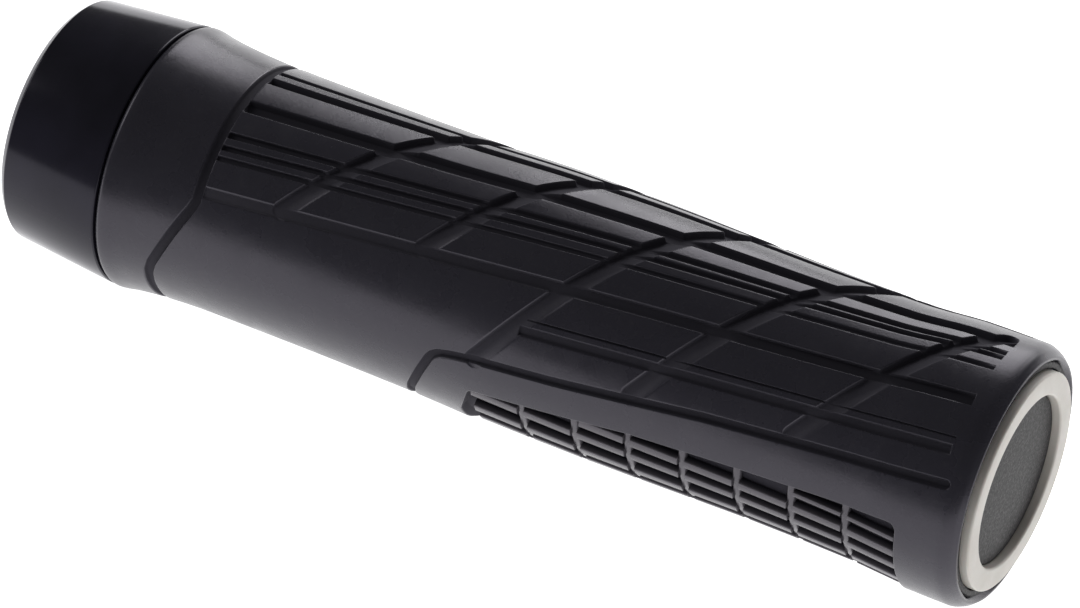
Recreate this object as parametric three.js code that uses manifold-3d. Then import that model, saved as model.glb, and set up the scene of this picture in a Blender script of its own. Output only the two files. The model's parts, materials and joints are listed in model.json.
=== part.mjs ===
// Clamp-on handlebar grip for the right-hand end of a bicycle bar.
//
// Millimetres. +X runs along the bar from the clamp collar to the closed outer end, +Z is up
// and -Y is the rider's side. The origin is the middle of the collar's inboard face, on the
// bar's axis. Angles around the bar are in degrees, from +Z towards -Y.

import * as THREE from 'three';
import { mergeVertices } from 'three/addons/utils/BufferGeometryUtils.js';
import Module from 'manifold-3d';

const wasm = await Module();
wasm.setup();

// Fits shared by every piece
const gap = 0.3; // between neighbouring pieces
const barDiameter = 22.2;
const barClearance = 0.2; // on the diameter
const finestEdge = 0.003;
const overrun = 1; // how far a cutter runs past the face that it crosses

// Clamp collar
const collarWidth = 14.8;
const collarStep = 0.05; // from the rubber's flange down to the collar's outboard edge
const collarTaper = 1.25; // how much smaller the collar's inboard radius is
const collarInboardChamfer = 0.9;
const collarOutboardChamfer = 0.25;
const collarSlitAngle = 222.8;
const collarSlitWidth = 1.4;

// Pinch bolt across the collar's slit
const boltDiameter = 3;
const boltHeadDiameter = 5.5;
const boltHeadHeight = 2;
const boltSocketAcross = 2.5;
const boltSocketDepth = 1.3;
const boltPlace = 8.2; // from the collar's inboard face
const boltHoleWall = 0.5; // collar metal left between the bolt's hole and the bar
const boltSeat = 4; // from the slit's middle to the seat under the head
const boltThreadSide = 6.2; // from the slit's middle to the bolt's tip
const boltClearance = 0.3; // around the shank and the head
const headPocketClearance = 0.35;

// Core sleeve
const coreWall = 1.8;
const dogLength = 3.2; // how far each dog reaches into the collar
const dogCount = 3;
const dogArc = 26;
const dogFirstAngle = 42.8;

// Rubber body: the wall outside the core at places along it
const bodyLength = 120.2;
const flangeWall = 4.2;
const flangeShape = [ // from the body's start
  [0, 3.9], [0.5, flangeWall], [3, 3.8], [7, 3.38], [13, 3.11],
];
const middleShape = [ // at shares of the way from the flange's shape to the end's
  [13 / 90, 3.06], [28 / 90, 3.16], [43 / 90, 3.57], [52 / 90, 3.59], [65 / 90, 3.38],
  [79 / 90, 3.12],
];
const endWall = 2.65;
const endShape = [ // back from the body's end
  [17.2, 3.17], [9.2, 3.7], [2.2, 3.76], [0.8, 3.3], [0, endWall],
];
const bodySides = 40;
const closestStations = 1; // along the bar, between two stations of a cutter

// Tread panel: rows of long grooves crossed by slanted ones. Places are from the body's start
const treadPlace = 13.4;
const treadMargin = 3.7; // back from the body's end
const rowPlace = 13.9; // where the rows' angles are read
const upperRowSlope = 0.297; // degrees a millimetre, above the row at upperRowAngle
const lowerRowSlope = 0.335; // degrees a millimetre, below the row at lowerRowAngle
const upperRowAngle = 10;
const lowerRowAngle = 25;
const hiddenRows = [
  [-103, -98, 0.5], [-74, -68, 0.8], [-48, -44, 0.9],
];
const upperRows = [
  [-24.5, -20.5, 0.9], [-16.5, -10.2, 0.9], [3, 10.6, 0.9], [21.3, 25.2, 0.65],
  [28.2, 31.2, 0.6], [46.8, 49, 0.35],
];
const panelEdgeRow = [55.2, 57, 0.3]; // between the tread and the smooth panel
const lowerRow = [71.2, 75.2, 0.45];
const treadTop = -103;
const upperTreadBottom = 49; // where the first slanted grooves stop, at the smooth panel
const slantSlope = 0.22; // millimetres a degree
const slantOrigin = 8; // the angle at which the slanted grooves' places are read
const slantWidth = 2.1;
const slantDepth = 0.85;
const hiddenSlant = 12.6;
const hiddenSlantStart = -48;
const shortSlants = [31.3, 49.3];
const longSlants = [68, 87, 106.4];

// Channels that border the smooth panel and the finger panel, as [place, angle] from the
// body's start. The other half is their mirror image about the middle of the finger panel
const mirrorAngle = 140;
const channelDepth = 0.45;
const inboardChannelWidth = 1.5;
const channelStep = 6;
const inboardChannel = [
  [12.9, -139], [12.9, 56], [10.5, 74], [7.6, 95], [7, 104], [7, mirrorAngle],
];
const outboardChannelWidth = 1.4;
const outboardChannelRise = [[43.1, mirrorAngle], [44.3, 114], [47.7, 87]];
const outboardChannelRun = [[49, 82.6], [51.5, 80.2], [54.4, 78.4], [64.9, 74.2], [84.9, 65]];
const outboardChannelEnd = [3.2, 54.1]; // back from the body's end

// Comb of short ribs on the finger panel
const combPlace = 53.3; // from the body's start
const combMargin = 8.18; // back from the body's end, for whole blocks
const combPitch = 7.34;
const combBlockGap = 0.95;
const combDepth = 1.3;
const combRibPitch = 9.3;
const combRibArc = 4.7;
const combFirstRib = 84.2;
const combTopAngle = 95; // of the comb's upper edge, at its start
const combTopSlope = 0.283; // degrees a millimetre
const combBorderArc = 3.2; // of the slanted groove inside that edge

// End cap and its ring
const capLip = 0.4; // the rubber's thinnest wall around the cap, at its end
const capThickness = 3.1;
const capRim = 0.35; // from the cap's face back from the rubber's end
const capSkirtLength = 4.6;
const capSkirtWall = 1.2;
const ringBorder = 1.05; // of the cap's face outside the ring
const ringWidth = 3;
const ringProud = 1.1; // in front of the cap's face
const ringSeat = 0.7; // depth of the ring's groove in the cap
const ringClearance = 0.2;
const ringEdge = 0.35;
const roundSides = 40;

// Places that follow from the sizes
const boreRadius = (barDiameter + barClearance) / 2;
const bodyStart = collarWidth + gap;
const bodyEnd = bodyStart + bodyLength;
const coreOuterRadius = boreRadius + coreWall;
const rubberBoreRadius = coreOuterRadius + gap;
const collarOutboardRadius = rubberBoreRadius + flangeWall - collarStep;
const collarInboardRadius = collarOutboardRadius - collarTaper;
const middleStart = bodyStart + flangeShape.at(-1)[0];
const middleEnd = bodyEnd - endShape[0][0];
const bodyShape = [ // [x, radius] from the body's start to its end
  ...flangeShape.map(([place, wall]) => [bodyStart + place, rubberBoreRadius + wall]),
  ...middleShape.map(([share, wall]) => [
    THREE.MathUtils.lerp(middleStart, middleEnd, share), rubberBoreRadius + wall,
  ]),
  ...endShape.map(([place, wall]) => [bodyEnd - place, rubberBoreRadius + wall]),
];
const capRadius = rubberBoreRadius + endWall - capLip - gap;
const ringOuterRadius = capRadius - ringBorder;
const ringInnerRadius = ringOuterRadius - ringWidth;
const capFace = bodyEnd - capRim;
const capInside = capFace - capThickness;
const coreEnd = capInside - gap;
const skirtInnerRadius = coreOuterRadius + gap;
const skirtOuterRadius = skirtInnerRadius + capSkirtWall;
const treadStart = bodyStart + treadPlace;
const treadEnd = bodyEnd - treadMargin;
const rowOrigin = bodyStart + rowPlace;
const combStart = bodyStart + combPlace;
const combBlocks = Math.round((bodyEnd - combMargin - combStart) / combPitch);
const combEnd = combStart + combBlocks * combPitch;
const boltHeight = boreRadius + boltHoleWall + boltDiameter / 2 + boltClearance;

const materials = {
  rubber: new THREE.MeshStandardMaterial({ color: 0x2b2b2d, roughness: 0.78, metalness: 0 }),
  collar: new THREE.MeshStandardMaterial({ color: 0x17161a, roughness: 0.32, metalness: 0.9 }),
  steel: new THREE.MeshStandardMaterial({ color: 0x6a6b6e, roughness: 0.35, metalness: 1 }),
  core: new THREE.MeshStandardMaterial({ color: 0x1c1c1e, roughness: 0.6, metalness: 0 }),
  cap: new THREE.MeshStandardMaterial({ color: 0x38363a, roughness: 0.7, metalness: 0 }),
  ring: new THREE.MeshStandardMaterial({ color: 0xcfc8c0, roughness: 0.5, metalness: 0 }),
};
for (const material of Object.values(materials)) material.flatShading = true;

// A point at x along the bar, at an angle around it and at radius r from its axis.
function around(x, angle, r) {
  const a = THREE.MathUtils.degToRad(angle);
  return new THREE.Vector3(x, -r * Math.sin(a), r * Math.cos(a));
}

// The rubber body's radius at x, between its listed places.
function bodyRadius(x) {
  const at = THREE.MathUtils.clamp(x, bodyStart, bodyEnd);
  let i = 1;
  while (i < bodyShape.length - 1 && bodyShape[i][0] < at) i += 1;
  const [x0, r0] = bodyShape[i - 1];
  const [x1, r1] = bodyShape[i];
  return THREE.MathUtils.mapLinear(at, x0, x1, r0, r1);
}

// A solid for joining and cutting, from a closed three.js geometry.
function solid(geometry) {
  const closed = joined(geometry, 1e-5);
  const index = [...closed.index.array];
  if (signedVolume(closed.getAttribute('position'), index) < 0) index.reverse();
  const mesh = new wasm.Mesh({
    numProp: 3,
    vertProperties: Float32Array.from(closed.getAttribute('position').array),
    triVerts: Uint32Array.from(index),
  });
  return new wasm.Manifold(mesh);
}

// A geometry of positions only, with corners nearer than a distance made one and the
// triangles that this closes left out.
function joined(geometry, distance) {
  const bare = new THREE.BufferGeometry();
  bare.setAttribute('position', geometry.getAttribute('position').clone());
  if (geometry.index) bare.setIndex(geometry.index.clone());
  const merged = mergeVertices(bare, distance);
  const { array } = merged.index;
  const index = [];
  for (let i = 0; i < array.length; i += 3) {
    const [a, b, c] = [array[i], array[i + 1], array[i + 2]];
    if (a !== b && b !== c && c !== a) index.push(a, b, c);
  }
  merged.setIndex(index);
  return merged;
}

function signedVolume(position, index) {
  const [a, b, c] = [new THREE.Vector3(), new THREE.Vector3(), new THREE.Vector3()];
  let sum = 0;
  for (let i = 0; i < index.length; i += 3) {
    a.fromBufferAttribute(position, index[i]);
    b.fromBufferAttribute(position, index[i + 1]);
    c.fromBufferAttribute(position, index[i + 2]);
    sum += a.dot(b.cross(c));
  }
  return sum / 6;
}

// The three.js geometry of a finished solid, with corners nearer than finestEdge made one.
function geometryOf(manifold) {
  const mesh = manifold.getMesh();
  const geometry = new THREE.BufferGeometry();
  geometry.setAttribute('position', new THREE.BufferAttribute(mesh.vertProperties, 3));
  geometry.setIndex(new THREE.BufferAttribute(mesh.triVerts, 1));
  return joined(geometry, finestEdge);
}

function named(name, manifold, material) {
  const mesh = new THREE.Mesh(geometryOf(manifold), material);
  mesh.name = name;
  return mesh;
}

// A solid turned around the bar's axis from [x, radius] corners that close on themselves.
function turned(corners, sides) {
  const points = [...corners, corners[0]].map(([x, r]) => new THREE.Vector2(r, x));
  return solid(new THREE.LatheGeometry(points, sides).rotateZ(-Math.PI / 2));
}

// A solid skin on the bar's round: each station is a row of [x, angle, floor, top] corners.
function wrapped(stations) {
  const columns = stations[0].length;
  const points = [];
  for (const station of stations) {
    for (const [x, angle, floor] of station) points.push(around(x, angle, floor));
    for (const [x, angle, , top] of [...station].reverse()) points.push(around(x, angle, top));
  }
  const loop = 2 * columns;
  const index = [];
  for (let s = 0; s + 1 < stations.length; s += 1) {
    for (let k = 0; k < loop; k += 1) {
      const a = s * loop + k;
      const b = s * loop + ((k + 1) % loop);
      index.push(a, b, b + loop, a, b + loop, a + loop);
    }
  }
  const last = (stations.length - 1) * loop;
  for (let k = 0; k + 1 < columns; k += 1) {
    const [a, b, c, d] = [k, k + 1, loop - 2 - k, loop - 1 - k];
    index.push(a, c, b, a, d, c);
    index.push(last + a, last + b, last + c, last + a, last + c, last + d);
  }
  const geometry = new THREE.BufferGeometry().setFromPoints(points);
  geometry.setIndex(index);
  return solid(geometry);
}

// A cutter that sinks a groove of some depth into the rubber between two edges, each given as
// a list of [x, angle] places.
function groove(edgeA, edgeB, depth) {
  const stations = edgeA.map((a, i) => [a, edgeB[i]].map(([x, angle]) => {
    const surface = bodyRadius(x);
    return [x, angle, surface - depth, surface + depth];
  }));
  return wrapped(stations);
}

// Places along the bar from one x to another, with those where the body's slope changes.
function placesBetween(from, to) {
  const inside = ([x]) => x > from + closestStations && x < to - closestStations;
  return [from, ...bodyShape.filter(inside).map(([x]) => x), to];
}

function steps(from, to, count) {
  return Array.from({ length: count + 1 }, (_, i) => THREE.MathUtils.lerp(from, to, i / count));
}

// The angle of a tread row at x: the rows run slightly askew around the bar.
function rowAngle(row, x) {
  const span = lowerRowAngle - upperRowAngle;
  const share = THREE.MathUtils.clamp((row - upperRowAngle) / span, 0, 1);
  const slope = THREE.MathUtils.lerp(upperRowSlope, lowerRowSlope, share);
  return row - slope * (x - rowOrigin);
}

// The x of a slanted groove's left edge at an angle.
function slantPlace(place, angle) {
  return bodyStart + place - slantSlope * (angle - slantOrigin);
}

// Where a slanted groove meets a row: its [x, angle].
function slantAtRow(place, row) {
  let angle = row;
  for (let i = 0; i < 20; i += 1) angle = rowAngle(row, slantPlace(place, angle));
  return [slantPlace(place, angle), angle];
}

function rowCutter([top, bottom, depth], from) {
  const places = placesBetween(from, treadEnd);
  const edge = (row) => places.map((x) => [x, rowAngle(row, x)]);
  return groove(edge(top), edge(bottom), depth);
}

function slantCutter(place, topAngle, bottomAngle) {
  const lowest = slantOrigin + (bodyStart + place + slantWidth - treadEnd) / slantSlope;
  const start = Math.max(topAngle, lowest);
  const angles = steps(start, bottomAngle, Math.max(2, Math.round((bottomAngle - start) / 11)));
  const left = angles.map((angle) => [slantPlace(place, angle), angle]);
  const right = left.map(([x, angle]) => [x + slantWidth, angle]);
  return groove(left, right, slantDepth);
}

// A channel of even width along a path of [x, angle] places, mitred at its corners.
function channel(path, width) {
  const flat = path.map(([x, angle]) => {
    const r = bodyRadius(x);
    return { x, r, p: new THREE.Vector2(x, THREE.MathUtils.degToRad(angle) * r) };
  });
  const sides = [[], []];
  flat.forEach(({ r, p }, i) => {
    const before = flat[Math.max(0, i - 1)].p;
    const after = flat[Math.min(flat.length - 1, i + 1)].p;
    const into = (i ? p.clone().sub(before) : after.clone().sub(p)).normalize();
    const out = (i + 1 < flat.length ? after.clone().sub(p) : into.clone()).normalize();
    const across = new THREE.Vector2(-into.y - out.y, into.x + out.x).normalize();
    const half = width / 2 / across.dot(new THREE.Vector2(-into.y, into.x));
    [1, -1].forEach((side, k) => {
      const q = p.clone().addScaledVector(across, side * half);
      sides[k].push([q.x, THREE.MathUtils.radToDeg(q.y / r)]);
    });
  });
  return groove(sides[0], sides[1], channelDepth);
}

// A path with its long stretches split, so that it follows the round.
function fine(path, step) {
  const out = [path[0]];
  for (let i = 1; i < path.length; i += 1) {
    const [x0, a0] = path[i - 1];
    const [x1, a1] = path[i];
    const arc = THREE.MathUtils.degToRad(a1 - a0) * bodyRadius(x0);
    const count = Math.max(1, Math.round(Math.hypot(x1 - x0, arc) / step));
    for (let k = 1; k <= count; k += 1) {
      out.push([THREE.MathUtils.lerp(x0, x1, k / count), THREE.MathUtils.lerp(a0, a1, k / count)]);
    }
  }
  return out;
}

function mirrored(path) {
  return path.map(([x, angle]) => [x, 2 * mirrorAngle - angle]).reverse();
}

function tread() {
  const cutters = [];
  for (const row of [...hiddenRows, ...upperRows]) cutters.push(rowCutter(row, treadStart));
  cutters.push(rowCutter(panelEdgeRow, treadStart));
  cutters.push(rowCutter(lowerRow, slantAtRow(longSlants[0], lowerRow[0])[0] + slantWidth / 2));
  const top = (place) => slantAtRow(place, treadTop)[1];
  cutters.push(slantCutter(hiddenSlant, top(hiddenSlant), hiddenSlantStart));
  for (const place of shortSlants) {
    cutters.push(slantCutter(place, top(place), slantAtRow(place, upperTreadBottom)[1]));
  }
  for (const place of longSlants) {
    cutters.push(slantCutter(place, top(place), slantAtChannel(place)));
  }
  return cutters;
}

// Places of a channel from the body's start, as [x, angle].
function onBody(path) {
  return path.map(([place, angle]) => [bodyStart + place, angle]);
}

function outboardRun() {
  const [margin, angle] = outboardChannelEnd;
  return [...onBody(outboardChannelRun), [bodyEnd - margin, angle]];
}

// The angle at which a slanted groove meets the outboard channel.
function slantAtChannel(place) {
  const upper = outboardRun();
  let angle = lowerRow[1];
  for (let i = 0; i < 20; i += 1) {
    const x = slantPlace(place, angle);
    const k = THREE.MathUtils.clamp(upper.findIndex((at) => at[0] > x), 1, upper.length - 1);
    angle = THREE.MathUtils.mapLinear(x, upper[k - 1][0], upper[k][0], upper[k - 1][1], upper[k][1]);
  }
  return angle;
}

function channels() {
  const [first, ...inboard] = onBody(inboardChannel);
  const outboard = [...onBody(outboardChannelRise), ...outboardRun()];
  const inboardPath = [first, ...inboard.slice(0, -1), ...mirrored(inboard)];
  const outboardPath = [...mirrored(outboard).slice(0, -1), ...outboard];
  return [
    channel(fine(inboardPath, channelStep), inboardChannelWidth),
    channel(fine(outboardPath, channelStep), outboardChannelWidth),
  ];
}

// What is cut from the finger panel: a ring slot beside each block, the grooves between the
// ribs, and the slanted groove inside the comb's upper and lower edges.
function comb() {
  const cutters = [];
  const slots = Array.from({ length: combBlocks + 1 }, (_, i) => combStart + i * combPitch);
  for (const x of slots) {
    const start = combEdge(x);
    const angles = steps(start, 2 * mirrorAngle - start, 14);
    const side = (shift) => angles.map((angle) => [x + shift * combBlockGap, angle]);
    cutters.push(groove(side(-0.5), side(0.5), combDepth));
  }
  const lastRib = 2 * mirrorAngle - combFirstRib;
  const ribs = Math.round((lastRib - combFirstRib) / combRibPitch);
  const half = combRibArc / 2;
  const angles = steps(combFirstRib, lastRib, ribs);
  for (let i = 0; i < ribs; i += 1) {
    const [top, bottom] = [angles[i] + half, angles[i + 1] - half];
    const nearest = Math.min(bottom, 2 * mirrorAngle - top);
    const start = Math.max(combStart, combStart + (combTopAngle - nearest) / combTopSlope);
    const places = placesBetween(start, combEnd);
    const side = (angle) => places.map((x) => [x, angle]);
    cutters.push(groove(side(top), side(bottom), combDepth));
  }
  const places = placesBetween(combStart, combEnd);
  const border = [0, combBorderArc].map((arc) => places.map((x) => [x, combEdge(x) + arc]));
  cutters.push(groove(border[0], border[1], combDepth));
  cutters.push(groove(mirrored(border[0]), mirrored(border[1]), combDepth));
  return cutters;
}

// The angle of the comb's upper edge at x.
function combEdge(x) {
  return combTopAngle - combTopSlope * (x - combStart);
}

function rubberGrip() {
  const inner = [
    [bodyEnd, capRadius + gap],
    [capInside - gap, capRadius + gap],
    [capInside - gap, skirtOuterRadius + gap],
    [capInside - capSkirtLength - gap, skirtOuterRadius + gap],
    [capInside - capSkirtLength - gap, rubberBoreRadius],
    [bodyStart, rubberBoreRadius],
  ];
  let body = turned([...bodyShape, ...inner], bodySides);
  for (const cutter of [...tread(), ...channels(), ...comb()]) body = body.subtract(cutter);
  return named('rubber_grip', body, materials.rubber);
}

function coreSleeve() {
  let core = turned([
    [bodyStart, boreRadius], [bodyStart, coreOuterRadius],
    [coreEnd, coreOuterRadius], [coreEnd, boreRadius],
  ], roundSides);
  for (const angle of dogAngles()) core = core.add(dog(angle, 0, bodyStart + overrun));
  return named('core_sleeve', core, materials.core);
}

function dogAngles() {
  return Array.from({ length: dogCount }, (_, i) => dogFirstAngle + (i * 360) / dogCount);
}

// A dog of the core sleeve, or with room around it the pocket that it enters in the collar.
function dog(angle, room, end) {
  const half = dogArc / 2 + THREE.MathUtils.radToDeg(room / coreOuterRadius);
  const [inner, outer] = [boreRadius + gap - room * 3, coreOuterRadius - gap / 2 + room];
  const start = collarWidth - dogLength - room;
  return wrapped([start, end].map((x) => steps(angle - half, angle + half, 4)
    .map((side) => [x, side, inner, outer])));
}

// Places something built along +Z, with its middle on the slit, at the pinch bolt's axis.
function atBolt(geometry) {
  geometry.rotateX(Math.PI / 2);
  geometry.translate(boltPlace, 0, boltHeight);
  return geometry.rotateX(THREE.MathUtils.degToRad(collarSlitAngle));
}

function rod(radius, from, to, sides) {
  const geometry = new THREE.CylinderGeometry(radius, radius, to - from, sides);
  return geometry.rotateX(Math.PI / 2).translate(0, 0, (from + to) / 2);
}

function clampCollar() {
  let collar = turned([
    [0, boreRadius], [0, collarInboardRadius - collarInboardChamfer],
    [collarInboardChamfer, collarInboardRadius],
    [collarWidth - collarOutboardChamfer, collarOutboardRadius],
    [collarWidth, collarOutboardRadius - collarOutboardChamfer], [collarWidth, boreRadius],
  ], roundSides);
  const slit = new THREE.BoxGeometry(
    collarWidth + 2 * overrun, collarSlitWidth, collarOutboardRadius,
  );
  slit.translate(collarWidth / 2, 0, boreRadius / 2 + collarOutboardRadius / 2);
  slit.rotateX(THREE.MathUtils.degToRad(collarSlitAngle));
  const shankHole = rod(
    boltDiameter / 2 + boltClearance, -boltThreadSide - overrun, boltSeat + overrun, 24,
  );
  const headPocket = rod(
    boltHeadDiameter / 2 + headPocketClearance, boltSeat, collarOutboardRadius, 32,
  );
  for (const cutter of [slit, atBolt(shankHole), atBolt(headPocket)]) {
    collar = collar.subtract(solid(cutter));
  }
  for (const angle of dogAngles()) {
    collar = collar.subtract(dog(angle, gap, collarWidth + overrun));
  }
  return named('clamp_collar', collar, materials.collar);
}

function pinchBolt() {
  const under = boltSeat + gap;
  const top = under + boltHeadHeight;
  const shank = solid(rod(boltDiameter / 2, -boltThreadSide, under + overrun / 2, 20));
  const head = solid(rod(boltHeadDiameter / 2, under, top, 32));
  const socketRadius = boltSocketAcross / 2 / Math.cos(Math.PI / 6);
  const socket = solid(rod(socketRadius, top - boltSocketDepth, top + overrun, 6));
  const bolt = named('pinch_bolt', shank.add(head).subtract(socket), materials.steel);
  atBolt(bolt.geometry);
  return bolt;
}

function endCap() {
  const seat = capFace - ringSeat;
  const cap = turned([
    [capInside, 0], [capInside, skirtInnerRadius],
    [capInside - capSkirtLength, skirtInnerRadius],
    [capInside - capSkirtLength, skirtOuterRadius], [capInside, skirtOuterRadius],
    [capInside, capRadius], [capFace, capRadius],
    [capFace, ringOuterRadius + ringClearance], [seat, ringOuterRadius + ringClearance],
    [seat, ringInnerRadius - ringClearance], [capFace, ringInnerRadius - ringClearance],
    [capFace, 0],
  ], roundSides);
  return named('end_cap', cap, materials.cap);
}

function endRing() {
  const back = capFace - ringSeat + gap;
  const front = capFace + ringProud;
  const ring = turned([
    [back, ringInnerRadius], [back, ringOuterRadius],
    [front - ringEdge, ringOuterRadius], [front, ringOuterRadius - ringEdge],
    [front, ringInnerRadius + ringEdge], [front - ringEdge, ringInnerRadius],
  ], roundSides);
  return named('end_ring', ring, materials.ring);
}

const grip = new THREE.Group();
grip.add(clampCollar(), pinchBolt(), coreSleeve(), rubberGrip(), endCap(), endRing());

export default grip;
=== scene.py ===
"""Dressed model of a clamp-on handlebar grip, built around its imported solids.

Sizes are in millimetres and become metres as each mesh is made. +X runs along the bar from
the clamp collar to the closed outer end, +Z is up and -Y is the rider's side. Angles around
the bar are in degrees, from +Z towards -Y.
"""
import json
import logging
import math
from dataclasses import dataclass, field, replace
from enum import Enum
from typing import Iterable, Sequence

import bmesh
import bpy
import numpy as np
from bpy.types import Material, Mesh, Node, NodeSocket, NodeTree, Object
from mathutils import Matrix, Vector
from mathutils.geometry import delaunay_2d_cdt

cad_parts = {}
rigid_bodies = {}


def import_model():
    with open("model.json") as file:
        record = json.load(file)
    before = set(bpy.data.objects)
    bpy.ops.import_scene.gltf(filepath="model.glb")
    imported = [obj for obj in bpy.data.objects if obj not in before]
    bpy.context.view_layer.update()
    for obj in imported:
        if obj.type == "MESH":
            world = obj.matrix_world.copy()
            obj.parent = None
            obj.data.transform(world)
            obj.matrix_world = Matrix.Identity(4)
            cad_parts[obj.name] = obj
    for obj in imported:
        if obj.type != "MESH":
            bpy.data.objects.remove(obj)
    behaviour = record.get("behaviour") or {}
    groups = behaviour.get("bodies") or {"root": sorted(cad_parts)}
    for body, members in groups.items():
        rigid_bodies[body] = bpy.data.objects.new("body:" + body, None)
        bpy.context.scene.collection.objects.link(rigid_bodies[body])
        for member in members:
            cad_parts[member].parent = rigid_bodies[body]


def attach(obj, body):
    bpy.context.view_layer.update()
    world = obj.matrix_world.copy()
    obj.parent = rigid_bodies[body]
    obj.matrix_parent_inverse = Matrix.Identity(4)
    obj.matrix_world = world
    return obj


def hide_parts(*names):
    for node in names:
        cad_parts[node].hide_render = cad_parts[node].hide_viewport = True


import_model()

LOG = logging.getLogger("grip")
MM = 0.001
BODY = "root"
UNROLL_RADIUS = 16.7  # at which angles around the bar are laid out flat
SEAM = -130.0  # the angle where the flat sheet begins and ends
FULL_TURN = 360.0
SHARP_EDGE = 38.0  # degrees between faces from which an edge stays sharp on hard pieces
SOFT_EDGE = 50.0  # and on rubber and the ring
NO_LENGTH = 1e-6  # millimetres, too short to matter
THROUGH = 1.0  # by which a cutter passes the surface that it opens
NOISE_SPAN = (0.3, 0.7)  # between which most of a noise's values lie

Place = tuple[float, float]  # (along the bar, angle or radius), or (angle, depth)
Span = tuple[float, float]  # (from, to)
Bump = tuple[float, float]  # (how strongly it shows, its full height in millimetres)
Triple = tuple[float, float, float]
Colour = Triple


class Cut(Enum):
    """How the ends of a groove are finished."""

    ROUND = "round"
    FLAT = "flat"


class Slot(Enum):
    """The record's material slots."""

    COLLAR = "collar"
    BOLT = "bolt"
    CORE = "core"
    RUBBER = "rubber"
    CAP = "cap"
    RING = "ring"


# Node trees and meshes


def add_node(tree: NodeTree, kind: str, inputs: dict | None = None, **settings: object) -> Node:
    """Adds a node to a tree.

    Args:
        tree: The shader or geometry tree.
        kind: The node's type.
        inputs: Sockets, by name or number, to link to or values to set.
        **settings: The node's own properties.

    Returns:
        The new node.
    """
    node = tree.nodes.new(kind)
    for key, value in settings.items():
        setattr(node, key, value)
    for key, value in (inputs or {}).items():
        if isinstance(value, NodeSocket):
            tree.links.new(value, node.inputs[key])
        else:
            node.inputs[key].default_value = value
    return node


def worked(tree: NodeTree, operation: str, *values: NodeSocket | float) -> NodeSocket:
    """The result of one Math node."""
    return add_node(tree, "ShaderNodeMath", dict(enumerate(values)), operation=operation).outputs[0]


def position(tree: NodeTree) -> Sequence[NodeSocket]:
    """The three coordinates of each point."""
    place = add_node(tree, "GeometryNodeInputPosition").outputs[0]
    return add_node(tree, "ShaderNodeSeparateXYZ", {0: place}).outputs


def kept_number(tree: NodeTree, name: str) -> NodeSocket:
    """A number kept on the points."""
    return add_node(tree, "GeometryNodeInputNamedAttribute", {"Name": name}, data_type="FLOAT").outputs[0]


def shape_tree(name: str, **inputs: str) -> tuple[NodeTree, Sequence[NodeSocket]]:
    """Starts a geometry tree.

    Args:
        name: The tree's name.
        **inputs: Its inputs after the geometry, with underscores for spaces, and the kind of each.

    Returns:
        The tree and its inputs' sockets.
    """
    tree = bpy.data.node_groups.new(name, "GeometryNodeTree")
    sockets = [("Geometry", "INPUT", "Geometry")]
    sockets += [(key.replace("_", " "), "INPUT", kind) for key, kind in inputs.items()]
    for label, side, kind in (*sockets, ("Geometry", "OUTPUT", "Geometry")):
        tree.interface.new_socket(label, in_out=side, socket_type=f"NodeSocket{kind}")
    return tree, add_node(tree, "NodeGroupInput").outputs


def flat_arc(angle: np.ndarray | float) -> np.ndarray | float:
    """The length along the unrolled sheet of an angle around the bar."""
    return np.radians(angle) * UNROLL_RADIUS


def flat_angle(arc: np.ndarray | float) -> np.ndarray | float:
    """The angle around the bar of a length along the unrolled sheet."""
    return np.degrees(arc / UNROLL_RADIUS)


def mesh_from(name: str, points: np.ndarray, faces: Sequence[Sequence[int]],
              edges: Sequence[Sequence[int]] = ()) -> Mesh:
    """Makes a mesh from points in millimetres.

    Args:
        name: The mesh's name.
        points: Its corners.
        faces: Each face's corners by number.
        edges: Loose edges, each by its two corners.

    Returns:
        The new mesh, in metres.
    """
    mesh = bpy.data.meshes.new(name)
    mesh.from_pydata((np.asarray(points, float) * MM).tolist(), list(edges), list(faces))
    mesh.update()
    return mesh


def keep_numbers(mesh: Mesh, **numbers: Sequence[float]) -> None:
    """Keeps a number for every point of a mesh under each name.

    Args:
        mesh: The mesh.
        **numbers: A list of numbers for each name.
    """
    for name, values in numbers.items():
        kept = mesh.attributes.new(name, "FLOAT", "POINT")
        kept.data.foreach_set("value", np.asarray(values, np.float32))


def object_from(name: str, mesh: Mesh) -> Object:
    """Makes an object of a mesh and links it to the scene.

    Args:
        name: The object's name.
        mesh: Its mesh.

    Returns:
        The new object.
    """
    piece = bpy.data.objects.new(name, mesh)
    bpy.context.scene.collection.objects.link(piece)
    return piece


def settled(piece: Object) -> Object:
    """Turns an object's live modifiers into its own plain mesh.

    Args:
        piece: The object with its modifiers.

    Returns:
        The same object, with no modifier left.
    """
    bpy.context.view_layer.update()
    graph = bpy.context.evaluated_depsgraph_get()
    mesh = bpy.data.meshes.new_from_object(piece.evaluated_get(graph), depsgraph=graph)
    piece.modifiers.clear()
    old = piece.data
    piece.data = mesh
    bpy.data.meshes.remove(old)
    mesh.name = piece.name
    return piece


def closed_up(mesh: Mesh, distance: float = 0.001, turn: bool = True) -> int:
    """Welds a mesh's seams, points its faces outwards and shades it smooth.

    Args:
        mesh: The mesh to close.
        distance: How near two corners are made one, in millimetres.
        turn: Whether its faces still have to be turned outwards.

    Returns:
        How many edges are still open.
    """
    shape = bmesh.new()
    shape.from_mesh(mesh)
    bmesh.ops.remove_doubles(shape, verts=shape.verts, dist=distance * MM)
    if turn:
        bmesh.ops.recalc_face_normals(shape, faces=shape.faces)
    open_edges = sum(not edge.is_manifold for edge in shape.edges)
    for face in shape.faces:
        face.smooth = True
    shape.to_mesh(mesh)
    shape.free()
    return open_edges


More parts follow.
